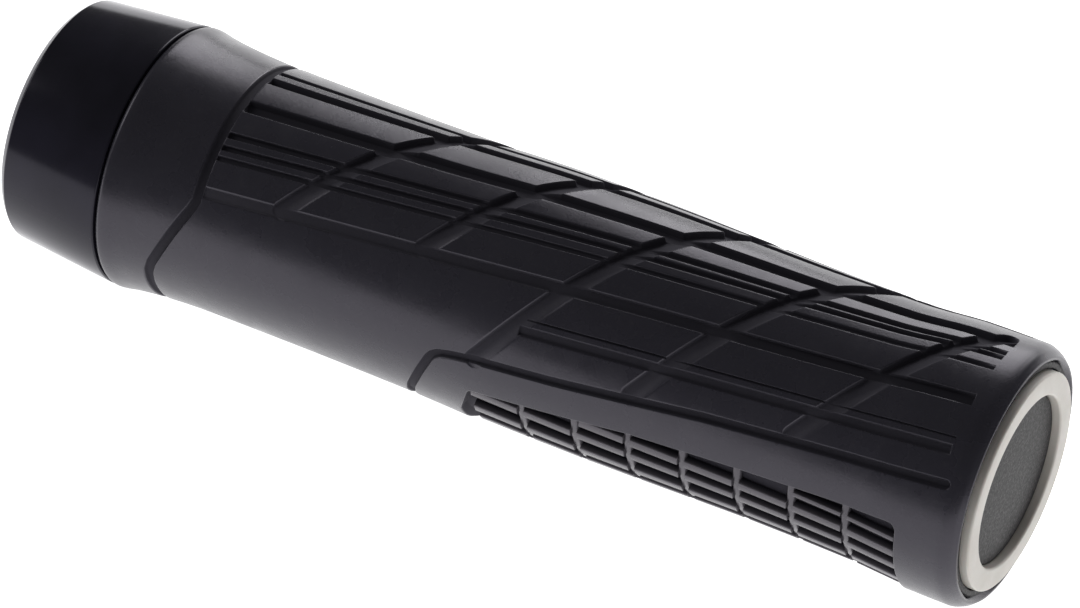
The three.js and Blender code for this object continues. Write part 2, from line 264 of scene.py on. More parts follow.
def rounded(corners: Sequence[Place], radii: Sequence[float], steps: int = 4) -> list[Place]:
    """Rounds the corners of a closed outline.

    Args:
        corners: The outline's corners.
        radii: The rounding at each corner, 0 for a sharp one.
        steps: Segments in each rounding.

    Returns:
        The outline with its roundings.
    """
    out: list[Place] = []
    count = len(corners)
    for i, radius in enumerate(radii):
        corner = np.array(corners[i], float)
        if radius <= 0:
            out.append(tuple(corner))
            continue
        to_last = np.array(corners[i - 1]) - corner
        to_next = np.array(corners[(i + 1) % count]) - corner
        to_last /= np.linalg.norm(to_last)
        to_next /= np.linalg.norm(to_next)
        half = math.acos(float(np.clip(to_last @ to_next, -1, 1))) / 2
        reach = radius / math.tan(half)
        middle = corner + (to_last + to_next) / np.linalg.norm(to_last + to_next) * radius / math.sin(half)
        start, end = corner + to_last * reach - middle, corner + to_next * reach - middle
        sweep = math.pi - 2 * half
        for k in range(steps + 1):
            t = k / steps
            arm = (math.sin((1 - t) * sweep) * start + math.sin(t * sweep) * end) / math.sin(sweep)
            out.append(tuple(middle + arm))
    return out


def turned(name: str, outline: Sequence[Place], segments: int = 160) -> Mesh:
    """Turns a closed outline of (x, radius) places around the bar's axis.

    Args:
        name: The mesh's name.
        outline: The closed outline.
        segments: The number of steps around the axis.

    Returns:
        The closed mesh.
    """
    outline = np.asarray(outline, float)
    angles = np.arange(segments) * 2 * math.pi / segments
    x = np.repeat(outline[None, :, 0], segments, 0)
    r = np.repeat(outline[None, :, 1], segments, 0)
    a = np.repeat(angles[:, None], len(outline), 1)
    points = np.stack([x, -r * np.sin(a), r * np.cos(a)], -1).reshape(-1, 3)
    count = len(outline)
    faces = [
        (s * count + k, s * count + (k + 1) % count,
         ((s + 1) % segments) * count + (k + 1) % count, ((s + 1) % segments) * count + k)
        for s in range(segments) for k in range(count)
        if outline[k][1] + outline[(k + 1) % count][1] > NO_LENGTH
    ]
    mesh = mesh_from(name, points, faces)
    closed_up(mesh)
    return mesh


def sector(name: str, start: float, end: float, inner: float, outer: float,
           middle: float, arc: float, steps: int = 12) -> Mesh:
    """A block between two radii and two ends, over an arc around the bar.

    Args:
        name: The mesh's name.
        start: Its first place along the bar.
        end: Its last place.
        inner: Its inner radius.
        outer: Its outer radius.
        middle: The angle of its middle.
        arc: The angle that it spans.
        steps: The number of flats along the arc.

    Returns:
        The closed mesh.
    """
    angles = np.radians(np.linspace(middle - arc / 2, middle + arc / 2, steps + 1))
    points = [
        (x, -r * math.sin(a), r * math.cos(a))
        for a in angles for x, r in ((start, inner), (end, inner), (end, outer), (start, outer))
    ]
    faces = [
        (4 * s + k, 4 * s + (k + 1) % 4, 4 * s + 4 + (k + 1) % 4, 4 * s + 4 + k)
        for s in range(steps) for k in range(4)
    ]
    faces += [(0, 1, 2, 3), tuple(4 * steps + k for k in (3, 2, 1, 0))]
    mesh = mesh_from(name, np.array(points), faces)
    closed_up(mesh)
    return mesh


def carved(piece: Object, others: Iterable[Mesh], operation: str = "DIFFERENCE") -> Object:
    """Cuts meshes out of a piece, or joins them to it.

    Args:
        piece: The piece that changes.
        others: The meshes, which are used up.
        operation: The Boolean's own word, to cut or to join.

    Returns:
        The same piece.
    """
    helpers = []
    for number, other in enumerate(others):
        helper = object_from(f"cutter_{number}", other)
        helpers.append(helper)
        cut = piece.modifiers.new(f"cut_{number}", "BOOLEAN")
        cut.operation, cut.solver, cut.object = operation, "EXACT", helper
    settled(piece)
    for helper in helpers:
        mesh = helper.data
        bpy.data.objects.remove(helper)
        bpy.data.meshes.remove(mesh)
    return piece


def shaded(piece: Object, limit: float = SHARP_EDGE) -> None:
    """Keeps the edges sharp where faces meet at more than an angle."""
    piece.data.set_sharp_from_angle(angle=math.radians(limit))


def softened(piece: Object, width: float, limit: float = SHARP_EDGE,
             segments: int = 2) -> Object:
    """Rounds a piece's sharp edges and shades it by its edges.

    Args:
        piece: The piece.
        width: The rounding's width in millimetres.
        limit: The angle from which an edge is sharp.
        segments: Steps across the rounding.

    Returns:
        The same piece.
    """
    bevel = piece.modifiers.new("edges", "BEVEL")
    bevel.width, bevel.segments = width * MM, segments
    bevel.limit_method, bevel.angle_limit = "ANGLE", math.radians(limit)
    bevel.use_clamp_overlap, bevel.harden_normals = True, False
    settled(piece)
    closed_up(piece.data)
    shaded(piece, limit)
    return piece


# Finishes


@dataclass(frozen=True)
class Grain:
    """A noise: its grains to the metre, how many finer ones are added and how strongly."""

    scale: float
    detail: float = 2.0
    roughness: float = 0.5


class Finish:
    """A procedural material under construction."""

    def __init__(self, name: str) -> None:
        """Starts a material with a Principled shader and its output.

        Args:
            name: The material's name.
        """
        self.material = bpy.data.materials.new(name)
        self.material.use_nodes = True
        self.tree = self.material.node_tree
        self.tree.nodes.clear()
        self.shader = add_node(self.tree, "ShaderNodeBsdfPrincipled")
        add_node(self.tree, "ShaderNodeOutputMaterial", {"Surface": self.shader.outputs[0]})
        self.place = add_node(self.tree, "ShaderNodeTexCoord").outputs["Object"]

    def noise(self, grain: Grain, place: NodeSocket | None = None) -> NodeSocket:
        """Noise on the object's coordinates.

        Args:
            grain: The noise's grain.
            place: Other coordinates than the object's.

        Returns:
            The noise, about 0 to 1.
        """
        node = add_node(self.tree, "ShaderNodeTexNoise", {
            "Vector": place or self.place, "Scale": grain.scale, "Detail": grain.detail,
            "Roughness": grain.roughness,
        })
        return node.outputs["Fac"]

    def drawn(self, grain: Grain, scale: Triple) -> NodeSocket:
        """Noise drawn out along the object's axes.

        Args:
            grain: The noise's grain.
            scale: The factor along each axis.

        Returns:
            The noise, about 0 to 1.
        """
        place = add_node(self.tree, "ShaderNodeMapping", {"Vector": self.place, "Scale": scale})
        return self.noise(grain, place.outputs["Vector"])

    def mapped(self, value: NodeSocket, span: Span, to: Span = (0.0, 1.0)) -> NodeSocket:
        """A value carried from one range to another and held within it.

        Args:
            value: The value.
            span: Where the first range begins and ends.
            to: What its beginning and its end become.

        Returns:
            The new value.
        """
        return add_node(self.tree, "ShaderNodeMapRange", {
            "Value": value, "From Min": span[0], "From Max": span[1], "To Min": to[0], "To Max": to[1],
        }).outputs["Result"]

    def mixed(self, share: NodeSocket, first: NodeSocket | Colour,
              second: NodeSocket | Colour) -> NodeSocket:
        """Two colours mixed by a share.

        Args:
            share: The second colour's share.
            first: The colour at 0.
            second: The colour at 1.

        Returns:
            The mixed colour.
        """
        node = add_node(self.tree, "ShaderNodeMix", data_type="RGBA")
        self.tree.links.new(share, node.inputs[0])
        for socket, value in ((node.inputs[6], first), (node.inputs[7], second)):
            if isinstance(value, NodeSocket):
                self.tree.links.new(value, socket)
            else:
                socket.default_value = (*value, 1.0)
        return node.outputs[2]

    def bump(self, height: NodeSocket, bump: Bump, below: NodeSocket | None = None) -> NodeSocket:
        """Relief over an earlier one.

        Args:
            height: The relief, 0 to 1.
            bump: How strongly it shows and its full height in millimetres.
            below: The normal of an earlier relief.

        Returns:
            The new normal.
        """
        node = add_node(self.tree, "ShaderNodeBump", {
            "Height": height, "Strength": bump[0], "Distance": bump[1] * MM,
        })
        if below is not None:
            self.tree.links.new(below, node.inputs["Normal"])
        return node.outputs["Normal"]

    def highest(self, first: NodeSocket, second: NodeSocket) -> NodeSocket:
        """The higher of two values."""
        return worked(self.tree, "MAXIMUM", first, second)

    def attribute(self, name: str) -> NodeSocket:
        """A number kept on the mesh."""
        return add_node(self.tree, "ShaderNodeAttribute", attribute_name=name).outputs["Fac"]

    def set(self, **values: NodeSocket | Colour | float) -> None:
        """Sets the shader's sockets by name, with underscores for spaces.

        Args:
            **values: A value, colour or socket for each shader socket.
        """
        for key, value in values.items():
            socket = self.shader.inputs[key.replace("_", " ")]
            if isinstance(value, NodeSocket):
                self.tree.links.new(value, socket)
            elif isinstance(value, tuple):
                socket.default_value = (*value, 1.0)
            else:
                socket.default_value = value


@dataclass(frozen=True)
class MouldedRubber:
    """Matt charcoal rubber with a fine moulded grain, and painted shade in its grooves and hollows."""

    name: str = "charcoal_rubber"
    # painted shade: the darker colour that grooves, walls and hollows take by their depth
    painted_groove_shade: Colour = (0.0180, 0.0170, 0.0235)
    dark: Colour = (0.0225, 0.0215, 0.0295)
    light: Colour = (0.0250, 0.0240, 0.0325)
    dusty: Colour = (0.042, 0.041, 0.046)
    tint: Colour = (0.93, 0.88, 1.0)  # of its gloss
    gloss: float = 0.5
    patch: Grain = Grain(60.0, 3.0, 0.6)
    patch_span: Span = (0.2, 0.8)
    speck: Grain = Grain(1500.0, 2.0, 0.7)
    speck_span: Span = (0.56, 0.72)
    speck_share: float = 0.3
    sunk: Span = (-0.75, -0.06)  # heights between which painted shade darkens the colour of grooves, walls and hollows
    fine: Grain = Grain(3200.0, 3.0, 0.65)
    fine_bump: Bump = (0.45, 0.028)
    skin: Grain = Grain(420.0)
    skin_bump: Bump = (0.35, 0.05)
    shine: Grain = Grain(230.0, 3.0, 0.6)
    polish: Span = (0.23, 0.33)  # roughness on the tops
    hollow: Span = (-0.24, -0.02)  # heights between which it turns dull
    dull: Span = (0.85, 0.2)  # roughness there

    def material(self) -> Material:
        """Builds the material.

        Returns:
            The finished material.
        """
        finish = Finish(self.name)
        patches = finish.mapped(finish.noise(self.patch), self.patch_span)
        colour = finish.mixed(patches, self.dark, self.light)
        specks = finish.mapped(finish.noise(self.speck), self.speck_span, (0.0, self.speck_share))
        colour = finish.mixed(specks, colour, self.dusty)
        # Painted shade: the colour turns towards the darker groove colour the further a point lies below
        # the surface
        sunk = finish.mapped(finish.attribute("height"), self.sunk, (1.0, 0.0))
        colour = finish.mixed(sunk, colour, self.painted_groove_shade)
        relief = finish.bump(finish.noise(self.skin), self.skin_bump)
        relief = finish.bump(finish.noise(self.fine), self.fine_bump, relief)
        rough = finish.mapped(finish.noise(self.shine), NOISE_SPAN, self.polish)
        dull = finish.mapped(finish.attribute("height"), self.hollow, self.dull)
        finish.set(Base_Color=colour, Roughness=finish.highest(rough, dull), Normal=relief,
                   Specular_IOR_Level=self.gloss, Specular_Tint=self.tint)
        return finish.material


# Painted highlight: a lighter copy of the charcoal rubber for the finger ribs and webs, so that their tops
# look brightly lit
RIB_RUBBER_PAINTED_HIGHLIGHT = MouldedRubber("rib_rubber_painted_highlight", dark=(0.066, 0.061, 0.070), light=(0.080, 0.074, 0.084),
                            dusty=(0.105, 0.100, 0.108))


@dataclass(frozen=True)
class BlackAnodising:
    """Black anodised aluminium with the fine marks of turning."""

    base: Colour = (0.0110, 0.0105, 0.0160)
    pale: Colour = (0.0185, 0.0175, 0.0275)
    tint: Colour = (0.92, 0.89, 1.0)  # of its gloss
    gloss: float = 0.26
    metal: float = 0.12
    turning: Grain = Grain(1.0, 3.0, 0.7)
    drawn: Triple = (9000.0, 60.0, 60.0)  # the marks run around the bar
    turning_bump: Bump = (0.07, 0.004)
    cloud: Grain = Grain(90.0, 3.0)
    cloud_span: Span = (0.35, 0.7)
    blast: Grain = Grain(5200.0)
    blast_bump: Bump = (0.10, 0.003)
    polish: Span = (0.13, 0.20)

    def material(self) -> Material:
        """Builds the material.

        Returns:
            The finished material.
        """
        finish = Finish("black_anodised")
        marks = finish.drawn(self.turning, self.drawn)
        cloud = finish.mapped(finish.noise(self.cloud), self.cloud_span)
        relief = finish.bump(marks, self.turning_bump)
        relief = finish.bump(finish.noise(self.blast), self.blast_bump, relief)
        finish.set(Base_Color=finish.mixed(cloud, self.base, self.pale), Normal=relief,
                   Roughness=finish.mapped(marks, NOISE_SPAN, self.polish), Metallic=self.metal,
                   Specular_IOR_Level=self.gloss, Specular_Tint=self.tint)
        return finish.material


@dataclass(frozen=True)
class ZincPlate:
    """Dark zinc on the pinch bolt, finely brushed."""

    base: Colour = (0.36, 0.36, 0.38)
    stain: Colour = (0.20, 0.20, 0.21)
    cloud: Grain = Grain(900.0, 4.0, 0.6)
    cloud_span: Span = (0.4, 0.65)
    brushing: Grain = Grain(9000.0, 3.0, 0.7)
    brushing_bump: Bump = (0.2, 0.01)
    polish: Span = (0.28, 0.42)

    def material(self) -> Material:
        """Builds the material.

        Returns:
            The finished material.
        """
        finish = Finish("dark_zinc")
        cloud = finish.mapped(finish.noise(self.cloud), self.cloud_span)
        marks = finish.noise(self.brushing)
        finish.set(Base_Color=finish.mixed(cloud, self.base, self.stain), Metallic=1.0,
                   Roughness=finish.mapped(marks, NOISE_SPAN, self.polish),
                   Normal=finish.bump(marks, self.brushing_bump))
        return finish.material


@dataclass(frozen=True)
class HardPlastic:
    """The core sleeve's hard moulded plastic, with faint flow marks."""

    base: Colour = (0.018, 0.018, 0.020)
    flow: Colour = (0.030, 0.030, 0.032)
    marks: Grain = Grain(1.0, 3.0, 0.6)
    drawn: Triple = (60.0, 900.0, 900.0)  # the marks run along the bar
    marks_span: Span = (0.4, 0.7)
    marks_bump: Bump = (0.2, 0.02)
    shine: Grain = Grain(700.0)
    polish: Span = (0.38, 0.52)

    def material(self) -> Material:
        """Builds the material.

        Returns:
            The finished material.
        """
        finish = Finish("hard_core_plastic")
        marks = finish.drawn(self.marks, self.drawn)
        colour = finish.mixed(finish.mapped(marks, self.marks_span), self.base, self.flow)
        rough = finish.mapped(finish.noise(self.shine), NOISE_SPAN, self.polish)
        finish.set(Base_Color=colour, Roughness=rough, Normal=finish.bump(marks, self.marks_bump))
        return finish.material


@dataclass(frozen=True)
class SparkTexture:
    """The end cap's dark plastic with a coarse, speckled spark texture."""

    base: Colour = (0.010, 0.0090, 0.0102)
    speck: Colour = (0.052, 0.047, 0.050)
    gloss: float = 0.3
    fine: Grain = Grain(2600.0, 3.0, 0.75)
    fine_bump: Bump = (0.8, 0.06)
    coarse: Grain = Grain(1150.0, 2.0, 0.6)
    coarse_bump: Bump = (0.7, 0.12)
    speck_span: Span = (0.50, 0.66)
    rough_span: Span = (0.35, 0.65)
    polish: Span = (0.62, 0.48)  # roughness in the pits and on the peaks

    def material(self) -> Material:
        """Builds the material.

        Returns:
            The finished material.
        """
        finish = Finish("sparked_plastic")
        grain = finish.noise(self.fine)
        colour = finish.mixed(finish.mapped(grain, self.speck_span), self.base, self.speck)
        relief = finish.bump(finish.noise(self.coarse), self.coarse_bump)
        relief = finish.bump(grain, self.fine_bump, relief)
        finish.set(Base_Color=colour, Roughness=finish.mapped(grain, self.rough_span, self.polish),
                   Normal=relief, Specular_IOR_Level=self.gloss)
        return finish.material


@dataclass(frozen=True)
class WarmWhite:
    """The ring's warm white satin plastic."""

    base: Colour = (0.58, 0.55, 0.505)
    pale: Colour = (0.64, 0.61, 0.57)
    cloud: Grain = Grain(240.0, 4.0, 0.6)
    cloud_span: Span = (0.35, 0.65)
    fine: Grain = Grain(4200.0, 2.0, 0.6)
    fine_bump: Bump = (0.25, 0.012)
    polish: Span = (0.40, 0.50)
    scatter: float = 0.05  # share of the light that enters it
    scatter_depth: float = 0.001  # metres

    def material(self) -> Material:
        """Builds the material.

        Returns:
            The finished material.
        """
        finish = Finish("warm_white_satin")
        cloud = finish.mapped(finish.noise(self.cloud), self.cloud_span)
        fine = finish.noise(self.fine)
        finish.set(Base_Color=finish.mixed(cloud, self.base, self.pale),
                   Roughness=finish.mapped(fine, NOISE_SPAN, self.polish),
                   Normal=finish.bump(fine, self.fine_bump), Subsurface_Weight=self.scatter,
                   Subsurface_Scale=self.scatter_depth)
        return finish.material


@dataclass(frozen=True)
class PaleFloor:
    """The studio's plain white floor."""

    base: Colour = (0.80, 0.80, 0.80)
    shade: Colour = (0.788, 0.788, 0.788)
    cloud: Grain = Grain(3.0)
    white: Colour = (1.0, 1.0, 1.0)
    glow: float = 1.2
    rough: float = 0.8

    def material(self) -> Material:
        """Builds the material.

        Returns:
            The finished material.
        """
        finish = Finish("pale_floor")
        cloud = finish.mapped(finish.noise(self.cloud), NOISE_SPAN)
        finish.set(Base_Color=finish.mixed(cloud, self.base, self.shade), Roughness=self.rough,
                   Emission_Color=self.white, Emission_Strength=self.glow)
        return finish.material


# The rubber's relief, laid out flat

WALL_PLACES = (0.0, 0.14, 0.26, 0.68, 0.80, 1.0)  # across a groove's wall, from its edge
WALL_DEPTHS = (0.0, 0.02, 0.10, 0.88, 0.965, 1.0)  # share of the groove's depth there
EDGE_SUPPORT = 0.12  # plain margin kept beside a wall
STEP_ALONG = 2.6  # longest stretch of an outline along the bar
STEP_AROUND = 0.95  # and around it
WALL_LEAST = 0.20  # width of a wall on a very shallow groove
WALL_SLOPE = 0.27  # and how much wider for each millimetre of depth
WALL_MOST = 0.36  # share of the groove's width
THINNEST = 0.02  # narrowest strip that still gets an outline
RAMP = (-0.3, 0.5)  # across a groove whose floor ramps up, in widths from its middle
END_ARC = np.arange(75, -90, -15.0)  # angles of the points on a round end
LOW_ROWS_FROM = 3  # the slanted groove at which the low rows begin, counted from 0
MEETING_ROUNDS = 20  # of closing in on where two lines meet
NEAR = 1.0  # how far from a cut its relief is worked out


def stepped(line: np.ndarray) -> np.ndarray:
    """Splits the long stretches of a flat line, so that it follows the round.

    Args:
        line: The line's points.

    Returns:
        The points with the added ones.
    """
    out = [line[:1]]
    for a, b in zip(line[:-1], line[1:]):
        span = np.abs(b - a)
        count = max(1, math.ceil(max(span[0] / STEP_ALONG, span[1] / STEP_AROUND)))
        out.append(a + (b - a) * (np.arange(1, count + 1) / count)[:, None])
    return np.concatenate(out)


def nearest(flat: np.ndarray, line: np.ndarray) -> np.ndarray:
    """The distance of flat points from a line of several stretches.

    Args:
        flat: The points.
        line: The line's points.

    Returns:
        Each point's distance.
    """
    best = np.full(len(flat), np.inf)
    for a, b in zip(line[:-1], line[1:]):
        d = b - a
        t = np.clip(((flat - a) @ d) / max(float(d @ d), NO_LENGTH**2), 0, 1)
        best = np.minimum(best, np.hypot(*(flat - a - t[:, None] * d).T))
    return best


@dataclass(frozen=True)
class Groove:
    """A groove of even width along a path of (x, angle) places."""

    path: tuple[Place, ...]
    width: float
    depths: tuple[Place, ...]  # (angle, depth), read between the listed angles
    ends: Cut = Cut.ROUND
    far_share: float = 1.0  # of the depth at its far side, where the floor ramps up

    @property
    def wall(self) -> float:
        """The width of the sloped wall on each side."""
        deepest = max(depth for _, depth in self.depths)
        return min(WALL_LEAST + WALL_SLOPE * deepest, WALL_MOST * self.width)

    def line(self) -> np.ndarray:
        """The path laid out flat."""
        return np.array([(x, flat_arc(angle)) for x, angle in self.path])

    def turned_by(self, turns: int) -> "Groove":
        """The same groove, whole turns further around.

        Args:
            turns: How many turns.

        Returns:
            The moved groove.
        """
        shift = turns * FULL_TURN
        return replace(self, path=tuple((x, a + shift) for x, a in self.path),
                       depths=tuple((a + shift, d) for a, d in self.depths))

    def distance(self, flat: np.ndarray) -> np.ndarray:
        """The distance outside the groove's edge, negative inside it.

        Args:
            flat: The points.

        Returns:
            Each point's distance.
        """
        line = self.line()
        out = nearest(flat, line) - self.width / 2
        if self.ends is Cut.FLAT:
            first, last = line[1] - line[0], line[-1] - line[-2]
            out = np.maximum(out, -(flat - line[0]) @ first / np.linalg.norm(first))
            out = np.maximum(out, (flat - line[-1]) @ last / np.linalg.norm(last))
        return out

    def shares(self, flat: np.ndarray, distance: np.ndarray) -> np.ndarray:
        """The share of the full depth at flat points inside the groove.

        Args:
            flat: The points.
            distance: Each point's distance outside the edge.

        Returns:
            Each point's share, 0 to 1.
        """
        share = np.interp(-distance / self.wall, WALL_PLACES, WALL_DEPTHS)
        if self.far_share == 1.0:
            return share
        line = self.line()
        ahead = (line[-1] - line[0]) / np.linalg.norm(line[-1] - line[0])
        across = (flat - line[0]) @ np.array([ahead[1], -ahead[0]])
        return share * np.interp(across / self.width, RAMP, (1.0, self.far_share))

    def outline(self, offset: float) -> np.ndarray | None:
        """The closed line at an offset outside the groove's edge.

        Args:
            offset: The offset, negative inside.

        Returns:
            The line's points, or None where the groove is too thin for it.
        """
        half = self.width / 2 + offset
        if half < THINNEST:
            return None
        line = self.line()
        first = (line[1] - line[0]) / np.linalg.norm(line[1] - line[0])
        last = (line[-1] - line[-2]) / np.linalg.norm(line[-1] - line[-2])
        if self.ends is Cut.FLAT:
            line[0], line[-1] = line[0] - first * offset, line[-1] + last * offset
        into = np.vstack([line[1] - line[0], line[1:] - line[:-1]])
        away = np.vstack([line[1:] - line[:-1], line[-1] - line[-2]])
        into /= np.linalg.norm(into, axis=1)[:, None]
        away /= np.linalg.norm(away, axis=1)[:, None]
        across = np.stack([-into[:, 1] - away[:, 1], into[:, 0] + away[:, 0]], 1)
        across /= np.linalg.norm(across, axis=1)[:, None]
        mitre = half / (across[:, 0] * -into[:, 1] + across[:, 1] * into[:, 0])
        left, right = line + across * mitre[:, None], line - across * mitre[:, None]
        if self.ends is Cut.FLAT:
            return np.vstack([left, right[::-1], left[:1]])
        return np.vstack([left, self._arc(line[-1], last, half), right[::-1],
                          self._arc(line[0], -first, half), left[:1]])

    @staticmethod
    def _arc(middle: np.ndarray, ahead: np.ndarray, radius: float) -> np.ndarray:
        """The round end of an outline, from its left to its right.

        Args:
            middle: The end's centre.
            ahead: The direction that it points in.
            radius: Its radius.

        Returns:
            The end's points.
        """
        turn = np.radians(END_ARC)
        side = np.array([-ahead[1], ahead[0]])
        return middle + radius * (np.cos(turn)[:, None] * ahead + np.sin(turn)[:, None] * side)


@dataclass(frozen=True)
class Recess:
    """A sunk field with straight sides and rounded corners, given anticlockwise when flat."""

    corners: tuple[Place, ...]
    radius: float
    depths: tuple[Place, ...]
    wall: float = 0.5
    steps: int = 6  # segments in each rounded corner

    def turned_by(self, turns: int) -> "Recess":
        """The same field, whole turns further around.

        Args:
            turns: How many turns.

        Returns:
            The moved field.
        """
        shift = turns * FULL_TURN
        return replace(self, corners=tuple((x, a + shift) for x, a in self.corners),
                       depths=tuple((a + shift, d) for a, d in self.depths))

    def _inner(self) -> tuple[np.ndarray, np.ndarray]:
        """The centres of the rounded corners and each side's outward direction.

        Returns:
            The centres, and for each side the direction out of the field.
        """
        flat = np.array([(x, flat_arc(angle)) for x, angle in self.corners])
        along = np.roll(flat, -1, 0) - flat
        along /= np.linalg.norm(along, axis=1)[:, None]
        out = np.stack([along[:, 1], -along[:, 0]], 1)
        centres = []
        for i in range(len(flat)):
            pair = np.stack([out[i - 1], out[i]])
            reach = np.array([out[i - 1] @ flat[i], out[i] @ flat[i]]) - self.radius
            centres.append(np.linalg.solve(pair, reach))
        return np.array(centres), out

    def distance(self, flat: np.ndarray) -> np.ndarray:
        """The distance outside the field's edge, negative inside it.

        Args:
            flat: The points.

        Returns:
            Each point's distance.
        """
        centres, out = self._inner()
        inside = np.max([(flat - c) @ o for c, o in zip(centres, out)], axis=0)
        away = nearest(flat, np.vstack([centres, centres[:1]]))
        return np.where(inside <= 0, inside, away) - self.radius

    def shares(self, flat: np.ndarray, distance: np.ndarray) -> np.ndarray:
        """The share of the full depth at flat points inside the field."""
        return np.interp(-distance / self.wall, WALL_PLACES, WALL_DEPTHS)

    def outline(self, offset: float) -> np.ndarray:
        """The closed line at an offset outside the field's edge.

        Args:
            offset: The offset, negative inside.

        Returns:
            The line's points.
        """
        centres, out = self._inner()
        points = []
        for i, centre in enumerate(centres):
            a0, a1 = (math.atan2(o[1], o[0]) for o in (out[i - 1], out[i]))
            a1 += 2 * math.pi if a1 < a0 else 0.0
            for k in range(self.steps + 1):
                a = a0 + (a1 - a0) * k / self.steps
                points.append(centre + (self.radius + offset) * np.array([math.cos(a), math.sin(a)]))
        return np.vstack([points, points[:1]])


def wrap_group() -> NodeTree:
    """The node tree that rolls a flat sheet of (along, around, height) around the bar.

    Returns:
        The tree, with the unroll radius and the material as its inputs. The radius under each
        point comes from the mesh's own "base_radius" attribute.
    """
    tree, given = shape_tree("roll_around_bar", Unroll_radius="Float", Material="Material")
    placed = add_node(tree, "GeometryNodeSetPosition", {
        "Geometry": given["Geometry"], "Position": rolled_position(tree, given["Unroll radius"]),
    })
    finish_tree(tree, placed.outputs[0], given["Material"])
    return tree


def rolled_position(tree: NodeTree, unroll: NodeSocket) -> NodeSocket:
    """Adds the nodes that carry a flat point to its place around the bar.

    Args:
        tree: The geometry tree.
        unroll: The radius at which angles were laid out.

    Returns:
        The place around the bar.
    """
    flat = position(tree)
    radius = worked(tree, "ADD", kept_number(tree, "base_radius"), flat[2])
    angle = worked(tree, "DIVIDE", flat[1], unroll)
    across = worked(tree, "MULTIPLY", worked(tree, "MULTIPLY", radius, worked(tree, "SINE", angle)), -1.0)
    up = worked(tree, "MULTIPLY", radius, worked(tree, "COSINE", angle))
    return add_node(tree, "ShaderNodeCombineXYZ", {0: flat[0], 1: across, 2: up}).outputs[0]


def finish_tree(tree: NodeTree, geometry: NodeSocket, material: NodeSocket) -> None:
    """Ends a geometry tree with real geometry in its material.

    Args:
        tree: The geometry tree.
        geometry: Its finished geometry.
        material: The material.
    """
    real = add_node(tree, "GeometryNodeRealizeInstances", {0: geometry})
    dressed = add_node(tree, "GeometryNodeSetMaterial", {
        "Geometry": real.outputs[0], "Material": material,
    })
    add_node(tree, "NodeGroupOutput", {0: dressed.outputs[0]})


def with_tree(piece: Object, tree: NodeTree, **values: object) -> Object:
    """Runs a geometry tree on a piece and keeps the result as its plain mesh.

    Args:
        piece: The object with the tree's input geometry.
        tree: The geometry tree.
        **values: The tree's inputs by name, with underscores for spaces.

    Returns:
        The same object.
    """
    modifier = piece.modifiers.new(tree.name, "NODES")
    modifier.node_group = tree
    sockets = {item.name: item.identifier for item in tree.interface.items_tree
               if item.in_out == "INPUT"}
    for name, value in values.items():
        modifier[sockets[name.replace("_", " ")]] = value
    return settled(piece)


# Sub-assemblies


